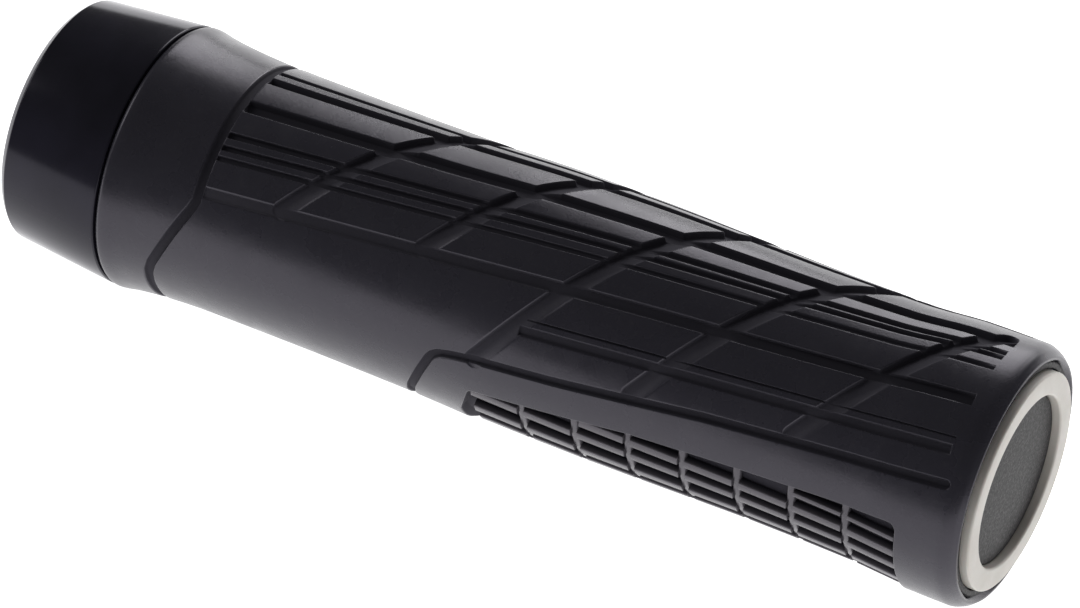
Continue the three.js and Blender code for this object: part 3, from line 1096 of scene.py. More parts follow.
@dataclass
class RubberBody:
    """The moulded rubber body: tread rows, slanted grooves, channels and comb recess."""

    start: float = 15.1
    end: float = 135.3
    profile: tuple[Place, ...] = (
        (15.1, 17.2), (15.6, 17.5), (18.1, 17.1), (22.1, 16.68), (28.1, 16.41), (41.1, 16.36),
        (56.1, 16.46), (71.1, 16.87), (80.1, 16.89), (93.1, 16.68), (107.1, 16.42), (118.1, 16.47),
        (126.1, 17.0), (133.1, 17.06), (134.5, 16.6), (135.3, 15.95),
    )
    inside: tuple[Place, ...] = (
        (135.3, 15.55), (131.55, 15.55), (131.55, 14.8), (126.95, 14.8), (126.95, 13.3), (15.1, 13.3),
    )
    tread_start: float = 28.5
    tread_end: float = 131.6
    row_origin: float = 29.0
    row_slopes: tuple[Place, ...] = (
        (-10.0, 0.29), (7.0, 0.283), (23.0, 0.347), (29.5, 0.374), (34.8, 0.351), (48.0, 0.335),
        (68.0, 0.312),
    )  # row, degrees a millimetre
    rows: tuple[Triple, ...] = (  # top and bottom angle, depth
        (-103.0, -98.0, 0.5), (-74.0, -68.0, 0.8), (-48.0, -44.0, 0.9), (-24.5, -20.5, 0.9),
        (-16.5, -10.2, 0.9), (3.0, 10.6, 0.9), (21.3, 25.3, 0.65), (27.9, 31.4, 0.6),
        (33.2, 36.4, 0.45),
    )
    panel_row: Span = (47.8, 54.2)
    panel_row_depths: tuple[Place, ...] = (
        (16.0, 0.9), (21.0, 0.8), (26.6, 0.6), (33.0, 0.42), (40.0, 0.3), (50.0, 0.2),
    )
    low_rows: tuple[Triple, ...] = (  # only beyond one of the slanted grooves
        (66.2, 67.4, 0.25), (69.4, 74.4, 0.38),
    )
    slant_slope: float = 0.22
    slant_origin: float = 8.0
    slant_width: float = 2.9
    slant_far_share: float = 0.08
    slant_depths: tuple[Place, ...] = (
        (-150.0, 0.5), (-90.0, 0.8), (8.0, 0.9), (20.0, 0.68), (36.0, 0.34), (90.0, 0.34),
    )
    slants: tuple[Triple, ...] = (  # place, top and bottom row
        (27.7, -100.5, -46.0), (46.4, -100.5, 50.0), (64.4, -100.5, 50.0), (83.1, -100.5, 90.5),
        (102.1, -100.5, 86.6), (121.5, -100.5, 84.4),
    )
    mirror: float = 140.0
    channel_depth: float = 0.55
    inboard_width: float = 1.5
    inboard: tuple[Place, ...] = (
        (28.0, 56.0), (27.6, 60.0), (25.6, 74.0), (22.7, 95.0), (22.2, 101.0), (22.05, 108.0),
        (22.0, 140.0),
    )
    outboard_width: float = 1.4
    outboard: tuple[Place, ...] = (
        (58.2, 140.0), (58.6, 124.0), (59.4, 114.0), (61.2, 99.0), (62.8, 87.0), (63.3, 84.4),
        (64.2, 82.3), (66.0, 80.5), (69.2, 78.4), (80.0, 74.2), (100.0, 65.0), (132.3, 54.0),
    )
    comb: "Comb" = field(default_factory=lambda: Comb())
    row_lead: float = 8.0  # of a row's first bend from its start
    row_tail: float = 4.0  # and of its last bend from its end
    row_step: float = 12.0  # between its bends
    ring_steps: int = 160
    sheet_step: float = 2.4
    sheet_clearance: float = 0.4  # of the sheet's plain points from a wall
    inboard_stations: tuple[float, ...] = (0, 0.12, 0.25, 0.4, 0.6, 0.9, 1.3, 1.8, 2.5, 3.5, 5.0)
    outboard_stations: tuple[float, ...] = (
        0, 0.12, 0.28, 0.45, 0.62, 0.8, 1.0, 1.25, 1.6, 2.0, 2.6, 3.3,
    )
    seam_margin: float = 1.0
    weld: float = 0.0015
    same: float = 1e-5  # distance at which the sheet's points are one
    on_end: float = 1e-4  # distance at which they lie on an end

    def radius(self, x: np.ndarray | float) -> np.ndarray:
        """The body's radius at x, on a smooth line through the profile's places.

        Args:
            x: One or more places along the bar.

        Returns:
            The radius there.
        """
        xs, rs = np.array(self.profile).T
        steep = np.diff(rs) / np.diff(xs)
        slope = np.zeros(len(xs))
        slope[0], slope[-1] = steep[0], steep[-1]
        same = steep[:-1] * steep[1:] > 0
        pair = np.where(same, steep[:-1] * steep[1:], 1.0), np.where(same, steep[:-1] + steep[1:], 1.0)
        slope[1:-1] = np.where(same, 2 * pair[0] / pair[1], 0.0)
        x = np.clip(np.asarray(x, float), xs[0], xs[-1])
        i = np.clip(np.searchsorted(xs, x) - 1, 0, len(xs) - 2)
        h = xs[i + 1] - xs[i]
        t = (x - xs[i]) / h
        return ((2 * t**3 - 3 * t**2 + 1) * rs[i] + (t**3 - 2 * t**2 + t) * h * slope[i]
                + (3 * t**2 - 2 * t**3) * rs[i + 1] + (t**3 - t**2) * h * slope[i + 1])

    def row_angle(self, row: float, x: float) -> float:
        """The angle of a tread row at x: the rows run slightly askew."""
        slope = float(np.interp(row, *zip(*self.row_slopes)))
        return row - slope * (x - self.row_origin)

    def slant_place(self, place: float, angle: float) -> float:
        """The middle of a slanted groove at an angle."""
        return place + self.slant_width / 2 - self.slant_slope * (angle - self.slant_origin)

    def slant_at(self, place: float, row: float) -> Place:
        """Where a slanted groove meets a row.

        Args:
            place: The groove's place.
            row: The row.

        Returns:
            The meeting point.
        """
        angle = row
        for _ in range(MEETING_ROUNDS):
            angle = self.row_angle(row, self.slant_place(place, angle))
        return self.slant_place(place, angle), angle

    def cuts(self) -> list[Groove | Recess]:
        """Every groove and recess of the relief.

        Returns:
            The cuts, rows first.
        """
        out: list[Groove | Recess] = []
        for row in self.rows:
            out.append(self._row(row, self.tread_start))
        band = self._row((*self.panel_row, 0.0), self.tread_start)
        out.append(replace(band, depths=self.panel_row_depths))
        for row in self.low_rows:
            out.append(self._row(row, self.slant_at(self.slants[LOW_ROWS_FROM][0], row[0])[0]))
        for place, top, bottom in self.slants:
            first, last = self.slant_at(place, top), self.slant_at(place, bottom)
            if first[0] > self.tread_end - self.slant_width / 2:
                edge = self.tread_end - self.slant_width / 2
                past = place + self.slant_width / 2 - edge
                first = (edge, self.slant_origin + past / self.slant_slope)
            out.append(Groove((first, last), self.slant_width, self.slant_depths,
                              far_share=self.slant_far_share))
        inboard = self.inboard + self._mirrored(self.inboard[:-1])
        x, angle = self.inboard[0]
        ring = ((x, 2 * self.mirror - angle - FULL_TURN),) + inboard
        out.append(Groove(ring, self.inboard_width, ((0.0, self.channel_depth),)))
        outboard = self._mirrored(self.outboard)[:-1] + self.outboard
        out.append(Groove(tuple(reversed(outboard)), self.outboard_width, ((0.0, self.channel_depth),)))
        out.append(self.comb.recess(self.mirror))
        return out

    def _row(self, row: Triple, start: float) -> Groove:
        """One long groove of the tread, to the tread's end.

        Args:
            row: Its top and bottom angle and its depth.
            start: Its first place along the bar.

        Returns:
            The groove.
        """
        top, bottom, depth = row
        middle = (top + bottom) / 2
        bends = np.arange(math.ceil(start) + self.row_lead, self.tread_end - self.row_tail, self.row_step)
        places = [start, *bends, self.tread_end]
        path = tuple((float(x), self.row_angle(middle, float(x))) for x in places)
        return Groove(path, float(flat_arc(bottom - top)), ((0.0, depth),), Cut.FLAT)

    def _mirrored(self, path: Sequence[Place]) -> tuple[Place, ...]:
        """A path's mirror image about the middle of the finger panel."""
        return tuple((x, 2 * self.mirror - angle) for x, angle in reversed(path))

    def all_cuts(self) -> list[Groove | Recess]:
        """The cuts that reach the sheet, with their copies across its seam.

        Returns:
            The cuts, some of them a whole turn further around.
        """
        low = flat_arc(SEAM) - self.seam_margin
        high = flat_arc(SEAM + FULL_TURN) + self.seam_margin
        out = []
        for cut in self.cuts():
            for turns in (-1, 0, 1):
                copy = cut.turned_by(turns)
                arcs = copy.outline(EDGE_SUPPORT)[:, 1]
                if arcs.max() > low and arcs.min() < high:
                    out.append(copy)
        return out

    def relief(self, flat: np.ndarray,
               cuts: Sequence[Groove | Recess]) -> tuple[np.ndarray, np.ndarray]:
        """The height of flat points and how far each is from any wall.

        Args:
            flat: The points.
            cuts: Every groove and recess.

        Returns:
            Each point's height, 0 or less, and its distance from the nearest wall.
        """
        height, clear = np.zeros(len(flat)), np.full(len(flat), np.inf)
        angle = flat_angle(flat[:, 1])
        for cut in cuts:
            edge = cut.outline(NEAR)
            near = np.all((flat > edge.min(0)) & (flat < edge.max(0)), axis=1)
            if not near.any():
                continue
            distance = cut.distance(flat[near])
            depth = np.interp(angle[near], *zip(*cut.depths))
            share = cut.shares(flat[near], distance)
            height[near] = np.minimum(height[near], -depth * share)
            clear[near] = np.minimum(clear[near], np.abs(distance + cut.wall / 2) - cut.wall / 2)
        return height, clear

    def sheet(self) -> tuple[np.ndarray, list[list[int]], np.ndarray, np.ndarray]:
        """Cuts the flat sheet into triangles that follow every edge of the relief.

        Returns:
            The points as (x, arc, height), the faces, each point's base radius and its height.
        """
        cuts = self.all_cuts()
        low, high = flat_arc(SEAM), flat_arc(SEAM + FULL_TURN)
        points: list[np.ndarray] = []
        edges: list[tuple[int, int]] = []

        def line(run: np.ndarray) -> None:
            """Adds a line of points joined in order.

            Args:
                run: The line's points.
            """
            first = sum(map(len, points))
            points.append(run)
            edges.extend((first + k, first + k + 1) for k in range(len(run) - 1))

        ring = np.linspace(low, high, self.ring_steps + 1)
        stations = self.stations()
        for x in (self.start, self.end):
            line(np.stack([np.full(len(ring), x), ring], 1))
        for arc in (low, high):
            line(np.stack([stations, np.full(len(stations), arc)], 1))
        for cut in cuts:
            walls = [-cut.wall * place for place in WALL_PLACES]
            offsets = [EDGE_SUPPORT, *walls, -cut.wall - EDGE_SUPPORT]
            for offset in offsets:
                outline = cut.outline(offset)
                if outline is not None:
                    for run in self._clipped(stepped(outline), low, high):
                        line(run)
        grid = np.stack(np.meshgrid(stations[1:-1], ring[1:-1], indexing="ij"), -1).reshape(-1, 2)
        _, clear = self.relief(grid, cuts)
        points.append(grid[clear > self.sheet_clearance])
        flat = np.concatenate(points)
        corners, _, faces, *_ = delaunay_2d_cdt([Vector(p) for p in flat], edges, [], 0, self.same)
        flat = np.array([tuple(c) for c in corners])
        height, _ = self.relief(flat, cuts)
        radius = self.radius(flat[:, 0])
        sheet = np.column_stack([flat, height])
        faces = self._wound(flat, faces)
        LOG.info("rubber sheet: %d cuts, %d points, %d faces", len(cuts), len(flat), len(faces))
        return self._closed(sheet, faces, radius, height)

    @staticmethod
    def _wound(flat: np.ndarray, faces: Sequence[Sequence[int]]) -> list[list[int]]:
        """Winds flat triangles so that they face outwards once rolled.

        Args:
            flat: The triangles' corners.
            faces: The triangles.

        Returns:
            The triangles, wound alike.
        """
        index = np.array(faces)
        a, b, c = (flat[index[:, k]] for k in range(3))
        area = (b[:, 0] - a[:, 0]) * (c[:, 1] - a[:, 1]) - (b[:, 1] - a[:, 1]) * (c[:, 0] - a[:, 0])
        index[area > 0] = index[area > 0][:, ::-1]
        return index.tolist()

    def stations(self) -> np.ndarray:
        """Places along the bar for the plain parts of the sheet.

        Returns:
            The places in order, closer together at the rounded ends.
        """
        lips = [self.start + d for d in self.inboard_stations]
        ends = [self.end - d for d in self.outboard_stations]
        count = round((ends[-1] - lips[-1]) / self.sheet_step)
        return np.array(sorted({*lips, *np.linspace(lips[-1], ends[-1], count + 1), *ends}))

    @staticmethod
    def _clipped(line: np.ndarray, low: float, high: float) -> list[np.ndarray]:
        """The stretches of a line that lie on the sheet.

        Args:
            line: The line's points.
            low: The sheet's first arc.
            high: Its last arc.

        Returns:
            The points of each stretch.
        """
        runs: list[list[np.ndarray]] = []
        run: list[np.ndarray] = []
        for a, b in zip(line[:-1], line[1:]):
            t0, t1 = 0.0, 1.0
            rise = b[1] - a[1]
            for bound, inward in ((low, 1.0), (high, -1.0)):
                at_a, at_b = inward * (a[1] - bound), inward * (b[1] - bound)
                if at_a < 0 and at_b < 0:
                    t0, t1 = 1.0, 0.0
                elif at_a < 0:
                    t0 = max(t0, (bound - a[1]) / rise)
                elif at_b < 0:
                    t1 = min(t1, (bound - a[1]) / rise)
            if t0 >= t1:
                if len(run) > 1:
                    runs.append(run)
                run = []
                continue
            ends = [a + (b - a) * t0, a + (b - a) * t1]
            if not run:
                run = [ends[0]]
            run.append(ends[1])
            if t1 < 1.0:
                runs.append(run)
                run = []
        if len(run) > 1:
            runs.append(run)
        return [np.array(r) for r in runs]

    def _closed(self, sheet: np.ndarray, faces: list[list[int]], radius: np.ndarray,
                height: np.ndarray) -> tuple[np.ndarray, list[list[int]], np.ndarray, np.ndarray]:
        """Adds the end faces, the cap's seat and the bore under the sheet.

        Args:
            sheet: The sheet's points.
            faces: Its triangles, to which the rest is added.
            radius: Each point's base radius.
            height: Each point's height.

        Returns:
            The same four, with the inner faces.
        """
        def border(x: float) -> np.ndarray:
            """The sheet's own points on one end, in order around the bar."""
            at = np.flatnonzero(np.abs(sheet[:, 0] - x) < self.on_end)
            return at[np.argsort(sheet[at, 1])]

        rows, inboard = [border(self.end)], border(self.start)
        arcs = sheet[rows[0], 1]
        for x, r in self.inside:
            first = len(sheet)
            row = np.column_stack([np.full(len(arcs), x), arcs, np.zeros(len(arcs))])
            sheet = np.vstack([sheet, row])
            radius = np.append(radius, np.full(len(arcs), r))
            height = np.append(height, np.zeros(len(arcs)))
            rows.append(np.arange(first, first + len(arcs)))
        rows.append(inboard)
        for upper, lower in zip(rows[:-1], rows[1:]):
            faces += [[int(upper[k]), int(upper[k + 1]), int(lower[k + 1]), int(lower[k])]
                      for k in range(len(arcs) - 1)]
        return sheet, faces, radius, height

    def build(self, material: Material, roll: NodeTree) -> Object:
        """Makes the finished body.

        Args:
            material: The rubber's finish.
            roll: The tree that rolls the sheet.

        Returns:
            The finished body.
        """
        sheet, faces, radius, height = self.sheet()
        mesh = mesh_from("rubber_body", sheet, faces)
        keep_numbers(mesh, base_radius=radius * MM, height=height)
        piece = object_from("rubber_body", mesh)
        with_tree(piece, roll, Unroll_radius=UNROLL_RADIUS * MM, Material=material)
        left = closed_up(piece.data, self.weld, turn=False)
        LOG.info("rubber body: %d faces, %d open edges", len(piece.data.polygons), left)
        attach(piece, BODY)
        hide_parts("rubber_grip")
        return piece


@dataclass
class Comb:
    """The finger panel's recess and the short ribs that stand in it."""

    start: float = 68.17
    blocks: int = 8
    pitch: float = 7.43
    gap: float = 0.95
    depth: float = 1.3
    rib_angles: tuple[float, ...] = (85.8, 94.7, 103.9, 116.9, 128.6)  # halfway along, then mirrored
    rib_tops: tuple[float, ...] = (2.6, 4.6, 4.6, 5.6, 5.6)
    rib_slope: float = 0.12  # degrees a millimetre
    middle: float = 110.0  # place at which the ribs have their listed angles
    foot_extra: float = 0.42  # of a ridge's foot over its top
    round_steps: int = 3  # on each rounded edge of a ridge
    height: float = 1.0
    edge_round: float = 0.26
    upper_edge: tuple[Place, ...] = ((68.3, 96.6), (90.7, 86.0), (127.4, 78.3))
    inboard_edge: tuple[Place, ...] = ((66.4, 116.0), (65.9, 140.0), (66.4, 164.0))
    border: float = 3.2  # degrees kept free between a rib and the recess's edge
    corner: float = 1.2
    web_height: float = 0.62
    web_inset: float = 0.8  # degrees from the recess's edge
    shortest: float = 1.2  # rib that is still made
    sunk: float = 0.1  # of each ridge's foot in the floor
    rib_steps: int = 5  # points along a rib
    web_steps: int = 60

    def edge(self, x: float) -> float:
        """The angle of the comb's upper edge at x."""
        return float(np.interp(x, *zip(*self.upper_edge)))

    def recess(self, mirror: float) -> Recess:
        """The sunk field that the ribs stand in.

        Args:
            mirror: The angle of the panel's middle.

        Returns:
            The field.
        """
        lower = tuple((x, 2 * mirror - angle) for x, angle in reversed(self.upper_edge))
        inboard = tuple(reversed(self.inboard_edge))
        return Recess(self.upper_edge + lower + inboard, self.corner, ((0.0, self.depth),))

    def rib_lines(self, mirror: float) -> list[tuple[float, float, float, float, float]]:
        """Each rib's start, end, angles there and top width, cut short by the comb's edges.

        Args:
            mirror: The angle of the panel's middle.

        Returns:
            For each rib its first and last place, the angles there and its top width in degrees.
        """
        out = []
        xs, edges = zip(*self.upper_edge)
        ribs = [(angle, self.rib_slope, top) for angle, top in zip(self.rib_angles, self.rib_tops)]
        ribs += [(2 * mirror - angle, -slope, top) for angle, slope, top in ribs]
        ribs.append((mirror, 0.0, self.rib_tops[-1]))
        for block in range(self.blocks):
            low = self.start + block * self.pitch + self.gap / 2
            high = low + self.pitch - self.gap
            for angle, slope, top in ribs:
                nearest_edge = min(angle, 2 * mirror - angle) - top / 2 - self.border
                first = max(low, float(np.interp(-nearest_edge, [-e for e in edges], xs)))
                if high - first > self.shortest and nearest_edge > edges[-1]:
                    bend = [angle + slope * (x - self.middle) for x in (first, high)]
                    out.append((first, high, bend[0], bend[1], top))
        return out

    def tree(self) -> NodeTree:
        """The node tree that makes a rounded rib along each edge and rolls it around the bar.

        Returns:
            The tree.
        """
        tree, given = shape_tree(
            "finger_ribs", Rib_height="Float", Foot_width="Float", Top_width="Float", Edge_round="Float",
            Sunk="Float", Unroll_radius="Float", Full_height="Float", Steps="Int", Material="Material")
        section = add_node(tree, "GeometryNodeCurvePrimitiveQuadrilateral", {
            "Bottom Width": given["Top width"], "Top Width": given["Foot width"], "Offset": 0.0,
            "Height": given["Rib height"],
        }, mode="TRAPEZOID")
        soft = add_node(tree, "GeometryNodeFilletCurve", {
            "Curve": section.outputs[0], "Radius": given["Edge round"],
            "Count": self.round_steps, "Limit Radius": True,
        }, mode="POLY")
        lift = worked(tree, "SUBTRACT", given["Sunk"], worked(tree, "MULTIPLY", given["Rib height"], 0.5))
        raised = add_node(tree, "GeometryNodeTransform", {
            "Geometry": soft.outputs[0],
            "Translation": add_node(tree, "ShaderNodeCombineXYZ", {1: lift}).outputs[0],
        })
        curves = add_node(tree, "GeometryNodeMeshToCurve", {0: given["Geometry"]})
        fine = add_node(tree, "GeometryNodeResampleCurve", {
            "Curve": curves.outputs[0], "Count": given["Steps"],
        })
        upright = add_node(tree, "GeometryNodeSetCurveNormal", {"Curve": fine.outputs[0]}, mode="Z_UP")
        swept = add_node(tree, "GeometryNodeCurveToMesh", {
            "Curve": upright.outputs[0], "Profile Curve": raised.outputs[0], "Fill Caps": True,
        })
        # Kept as "height": how far below the rib's top each point lies, from which the rubber paints shade
        # on the flanks and feet
        level = worked(tree, "SUBTRACT", position(tree)[2], given["Full height"])
        kept = add_node(tree, "GeometryNodeStoreNamedAttribute", {
            "Geometry": swept.outputs[0], "Name": "height",
            "Value": worked(tree, "MULTIPLY", level, 1 / MM),
        }, data_type="FLOAT", domain="POINT")
        narrowed = self.narrowed(tree, kept.outputs[0])
        rolled = rolled_position(tree, given["Unroll radius"])
        placed = add_node(tree, "GeometryNodeSetPosition", {"Geometry": narrowed, "Position": rolled})
        finish_tree(tree, placed.outputs[0], given["Material"])
        return tree

    def web_lines(self, mirror: float) -> list[Triple]:
        """Each web's place along the bar and its two ends around it.

        Args:
            mirror: The angle of the panel's middle.

        Returns:
            For each web its place and the angles of its ends.
        """
        places = [self.start + block * self.pitch for block in range(1, self.blocks)]
        return [(x, self.edge(x) + self.web_inset, 2 * mirror - self.edge(x) - self.web_inset)
                for x in places]

    @staticmethod
    def narrowed(tree: NodeTree, geometry: NodeSocket) -> NodeSocket:
        """Draws each flat rib in towards its middle line by its share of the widest top.

        Args:
            tree: The geometry tree.
            geometry: The flat ribs.

        Returns:
            The narrowed ribs.
        """
        x, y, z = position(tree)
        line = kept_number(tree, "middle_line")
        off = worked(tree, "SUBTRACT", y, line)
        drawn = worked(tree, "MULTIPLY_ADD", off, kept_number(tree, "width_share"), line)
        spot = add_node(tree, "ShaderNodeCombineXYZ", {0: x, 1: drawn, 2: z})
        moved = add_node(tree, "GeometryNodeSetPosition", {
            "Geometry": geometry, "Position": spot.outputs[0],
        })
        return moved.outputs[0]

    def build(self, body: RubberBody, material: Material) -> None:
        """Makes the ribs of every block and the low webs between the blocks.

        Args:
            body: The rubber body that they stand in.
            material: Their finish.
        """
        tree = self.tree()
        widest = max(self.rib_tops)
        ends, shares = [], []
        for first, last, low, high, top in self.rib_lines(body.mirror):
            ends += [(first, low), (last, high)]
            shares += [top / widest] * 2
        self.swept("finger_ribs", tree, body, ends, shares, float(flat_arc(widest)), self.height,
                   self.rib_steps, material)
        ends = []
        for x, low, high in self.web_lines(body.mirror):
            ends += [(x, low), (x, high)]
        self.swept("finger_webs", tree, body, ends, [1.0] * len(ends), self.gap, self.web_height,
                   self.web_steps, material)

    def swept(self, name: str, tree: NodeTree, body: RubberBody, ends: list[Place],
              shares: list[float], top: float, height: float, steps: int,
              material: Material) -> Object:
        """Sweeps one ridge along each pair of ends on the recess's floor.

        Args:
            name: The piece's name.
            tree: The node tree that sweeps and rolls.
            body: The rubber body that the ridges stand in.
            ends: The ridges' ends, two for each, as (place along the bar, angle).
            shares: The share of the top width at each end.
            top: The width of the ridge's top.
            height: The ridge's height above the recess's floor.
            steps: The number of points along each ridge.
            material: The ridge's finish.

        Returns:
            The finished piece.
        """
        points = np.array([(x, float(flat_arc(angle)), 0.0) for x, angle in ends])
        edges = [(2 * k, 2 * k + 1) for k in range(len(ends) // 2)]
        mesh = mesh_from(name, points, [], edges)
        across = all(abs(a[0] - b[0]) < NO_LENGTH for a, b in zip(ends[::2], ends[1::2]))
        keep_numbers(mesh, base_radius=[(float(body.radius(x)) - self.depth) * MM for x, _ in ends],
                     width_share=shares, middle_line=[0.0 if across else p[1] * MM for p in points])
        piece = object_from(name, mesh)
        with_tree(piece, tree, Rib_height=(height + self.sunk) * MM,
                  Foot_width=(top + self.foot_extra) * MM, Top_width=top * MM,
                  Edge_round=self.edge_round * MM, Sunk=self.sunk * MM,
                  Full_height=height * MM, Unroll_radius=UNROLL_RADIUS * MM, Steps=steps,
                  Material=material)
        left = closed_up(piece.data)
        shaded(piece, SOFT_EDGE)
        LOG.info("%s: %d ridges, %d faces, %d open edges", name, len(edges),
                 len(piece.data.polygons), left)
        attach(piece, BODY)
        return piece


@dataclass
class CoreSleeve:
    """The hard sleeve inside the rubber, with dogs that turn with the collar."""

    start: float = 15.1
    end: float = 131.55
    bore: float = 11.2
    outer: float = 13.0
    dogs: int = 3
    dog_length: float = 3.2
    dog_arc: float = 26.0
    dog_first: float = 42.8
    dog_inner: float = 11.5
    dog_outer: float = 12.85
    dog_root: float = 1.0  # of a dog inside the sleeve
    collar_end: float = 14.8
    roundings: tuple[float, ...] = (0.25, 0.15, 0.15, 0.25)
    segments: int = 128

    def dog_angles(self) -> list[float]:
        """The angle of each dog."""
        return [self.dog_first + i * FULL_TURN / self.dogs for i in range(self.dogs)]

    def build(self, material: Material) -> Object:
        """Makes the sleeve.

        Args:
            material: Its finish.

        Returns:
            The finished piece.
        """
        outline = rounded([(self.start, self.bore), (self.start, self.outer),
                           (self.end, self.outer), (self.end, self.bore)], self.roundings)
        piece = object_from("core", turned("core", outline, self.segments))
        first, last = self.collar_end - self.dog_length, self.start + self.dog_root
        carved(piece, [sector("dog", first, last, self.dog_inner, self.dog_outer, angle, self.dog_arc)
                       for angle in self.dog_angles()], "UNION")
        closed_up(piece.data)
        shaded(piece)
        dress(piece, material, "core_sleeve")
        return piece


@dataclass
class ClampCollar:
    """The split aluminium ring that pinches the bar."""

    width: float = 14.8
    bore: float = 11.2
    inboard: float = 16.2
    outboard: float = 17.45
    slit_angle: float = 222.8
    slit_width: float = 1.4
    gap: float = 0.3
    chamfer: float = 0.9
    roundings: tuple[float, ...] = (0.3, 0.25, 0.45, 0.25, 0.2)
    rounding_steps: int = 5
    segments: int = 192
    edge: float = 0.12  # rounding of its cut edges
    inward: float = 0.6  # of a dog's pocket past the bore

    def build(self, material: Material, bolt: "PinchBolt", core: CoreSleeve) -> Object:
        """Makes the collar with its slit, screw holes and pockets for the dogs.

        Args:
            material: Its finish.
            bolt: The screw that crosses it.
            core: The sleeve whose dogs it takes.

        Returns:
            The finished piece.
        """
        outline = rounded(
            [(0.0, self.bore), (0.0, self.inboard - self.chamfer), (self.chamfer, self.inboard),
             (self.width, self.outboard), (self.width, self.bore)],
            self.roundings, self.rounding_steps)
        piece = object_from("collar", turned("collar", outline, self.segments))
        cutters = [self.slit(), *bolt.holes(self.outboard)]
        for angle in core.dog_angles():
            arc = core.dog_arc + 2 * math.degrees(self.gap / core.outer)
            cutters.append(sector("pocket", self.width - core.dog_length - self.gap, self.width + THROUGH,
                                  self.bore - self.inward, core.dog_outer + self.gap, angle, arc))
        carved(piece, cutters)
        softened(piece, self.edge)
        dress(piece, material, "clamp_collar")
        return piece

    def slit(self) -> Mesh:
        """The block that splits the ring.

        Returns:
            The block, ready to be cut out.
        """
        half = self.slit_width / 2
        low, high = self.bore - 4 * THROUGH, self.outboard + 2 * THROUGH
        ends = (-THROUGH, self.width + THROUGH)
        points = [(x, y, z) for x in ends for y in (-half, half) for z in (low, high)]
        faces = [(0, 1, 3, 2), (4, 6, 7, 5), (0, 4, 5, 1), (2, 3, 7, 6), (0, 2, 6, 4), (1, 5, 7, 3)]
        mesh = mesh_from("slit", np.array(points), faces)
        mesh.transform(Matrix.Rotation(math.radians(self.slit_angle), 4, "X"))
        closed_up(mesh)
        return mesh


@dataclass
class PinchBolt:
    """The socket head screw across the collar's slit."""

    place: float = 8.2
    height: float = 13.5
    angle: float = 222.8
    radius: float = 1.5
    head_radius: float = 2.75
    head_height: float = 2.0
    seat: float = 4.3
    tip: float = -6.2
    socket_across: float = 2.5
    socket_depth: float = 1.3
    socket_sides: int = 6
    clearance: float = 0.3
    pocket_clearance: float = 0.35
    roundings: tuple[float, ...] = (0, 0.35, 0, 0.08, 0.3, 0)
    sides: int = 48
    hole_sides: int = 40
    pocket_sides: int = 56

    def rod(self, name: str, outline: Sequence[Place], sides: int) -> Mesh:
        """Turns an outline of (along, radius) places and sets it on the screw's axis.

        Args:
            name: The mesh's name.
            outline: The outline.
            sides: The number of sides.

        Returns:
            The mesh in its place.
        """
        mesh = turned(name, outline, sides)
        # Along the bar's axis first, then across the slit at the screw's height
        stand = Matrix(((0, 0, 1, 0), (-1, 0, 0, 0), (0, -1, 0, 0), (0, 0, 0, 1)))
        lift = Matrix.Translation(Vector((self.place, 0.0, self.height)) * MM)
        turn = Matrix.Rotation(math.radians(self.angle), 4, "X")
        mesh.transform(turn @ lift @ stand)
        closed_up(mesh)
        return mesh

    def cutter(self, name: str, first: float, last: float, radius: float, sides: int) -> Mesh:
        """A straight rod between two places on the screw's axis."""
        return self.rod(name, [(first, 0), (first, radius), (last, radius), (last, 0)], sides)

    def holes(self, reach: float) -> list[Mesh]:
        """The collar's screw hole and the pocket for the head.

        Args:
            reach: How far the pocket opens from the screw's middle.

        Returns:
            The two cutters.
        """
        hole, pocket = self.radius + self.clearance, self.head_radius + self.pocket_clearance
        start = self.seat - self.clearance
        return [
            self.cutter("hole", self.tip - THROUGH, start + THROUGH, hole, self.hole_sides),
            self.cutter("pocket", start, reach, pocket, self.pocket_sides),
        ]

    def build(self, material: Material) -> Object:
        """Makes the screw.

        Args:
            material: Its finish.

        Returns:
            The finished piece.
        """
        top = self.seat + self.head_height
        outline = rounded(
            [(self.tip, 0), (self.tip, self.radius), (self.seat, self.radius),
             (self.seat, self.head_radius), (top, self.head_radius), (top, 0)],
            self.roundings)
        piece = object_from("bolt", self.rod("bolt", outline, self.sides))
        across = self.socket_across / 2 / math.cos(math.pi / self.socket_sides)
        start, end = top - self.socket_depth, top + THROUGH
        carved(piece, [self.cutter("socket", start, end, across, self.socket_sides)])
        closed_up(piece.data)
        shaded(piece)
        dress(piece, material, "pinch_bolt")
        return piece


@dataclass
class EndCap:
    """The plate that closes the outer end, with a skirt inside the rubber."""

    inside: float = 131.85
    face: float = 134.95
    radius: float = 15.25
    skirt_length: float = 4.6
    skirt_inner: float = 13.3
    skirt_outer: float = 14.5
    ring_outer: float = 14.2
    ring_inner: float = 11.2
    ring_seat: float = 0.7
    clearance: float = 0.2
    roundings: tuple[float, ...] = (0, 0.3, 0.15, 0.15, 0.1, 0.15, 0.3, 0.08, 0.05, 0.05, 0.12, 0)
    segments: int = 160

    def build(self, material: Material) -> Object:
        """Makes the cap.

        Args:
            material: Its finish.

        Returns:
            The finished piece.
        """
        seat, open_end = self.face - self.ring_seat, self.inside - self.skirt_length
        outer, inner = self.ring_outer + self.clearance, self.ring_inner - self.clearance
        outline = rounded([
            (self.inside, 0.0), (self.inside, self.skirt_inner), (open_end, self.skirt_inner),
            (open_end, self.skirt_outer), (self.inside, self.skirt_outer), (self.inside, self.radius),
            (self.face, self.radius), (self.face, outer), (seat, outer), (seat, inner),
            (self.face, inner), (self.face, 0.0),
        ], self.roundings)
        piece = object_from("cap", turned("cap", outline, self.segments))
        shaded(piece)
        dress(piece, material, "end_cap")
        return piece


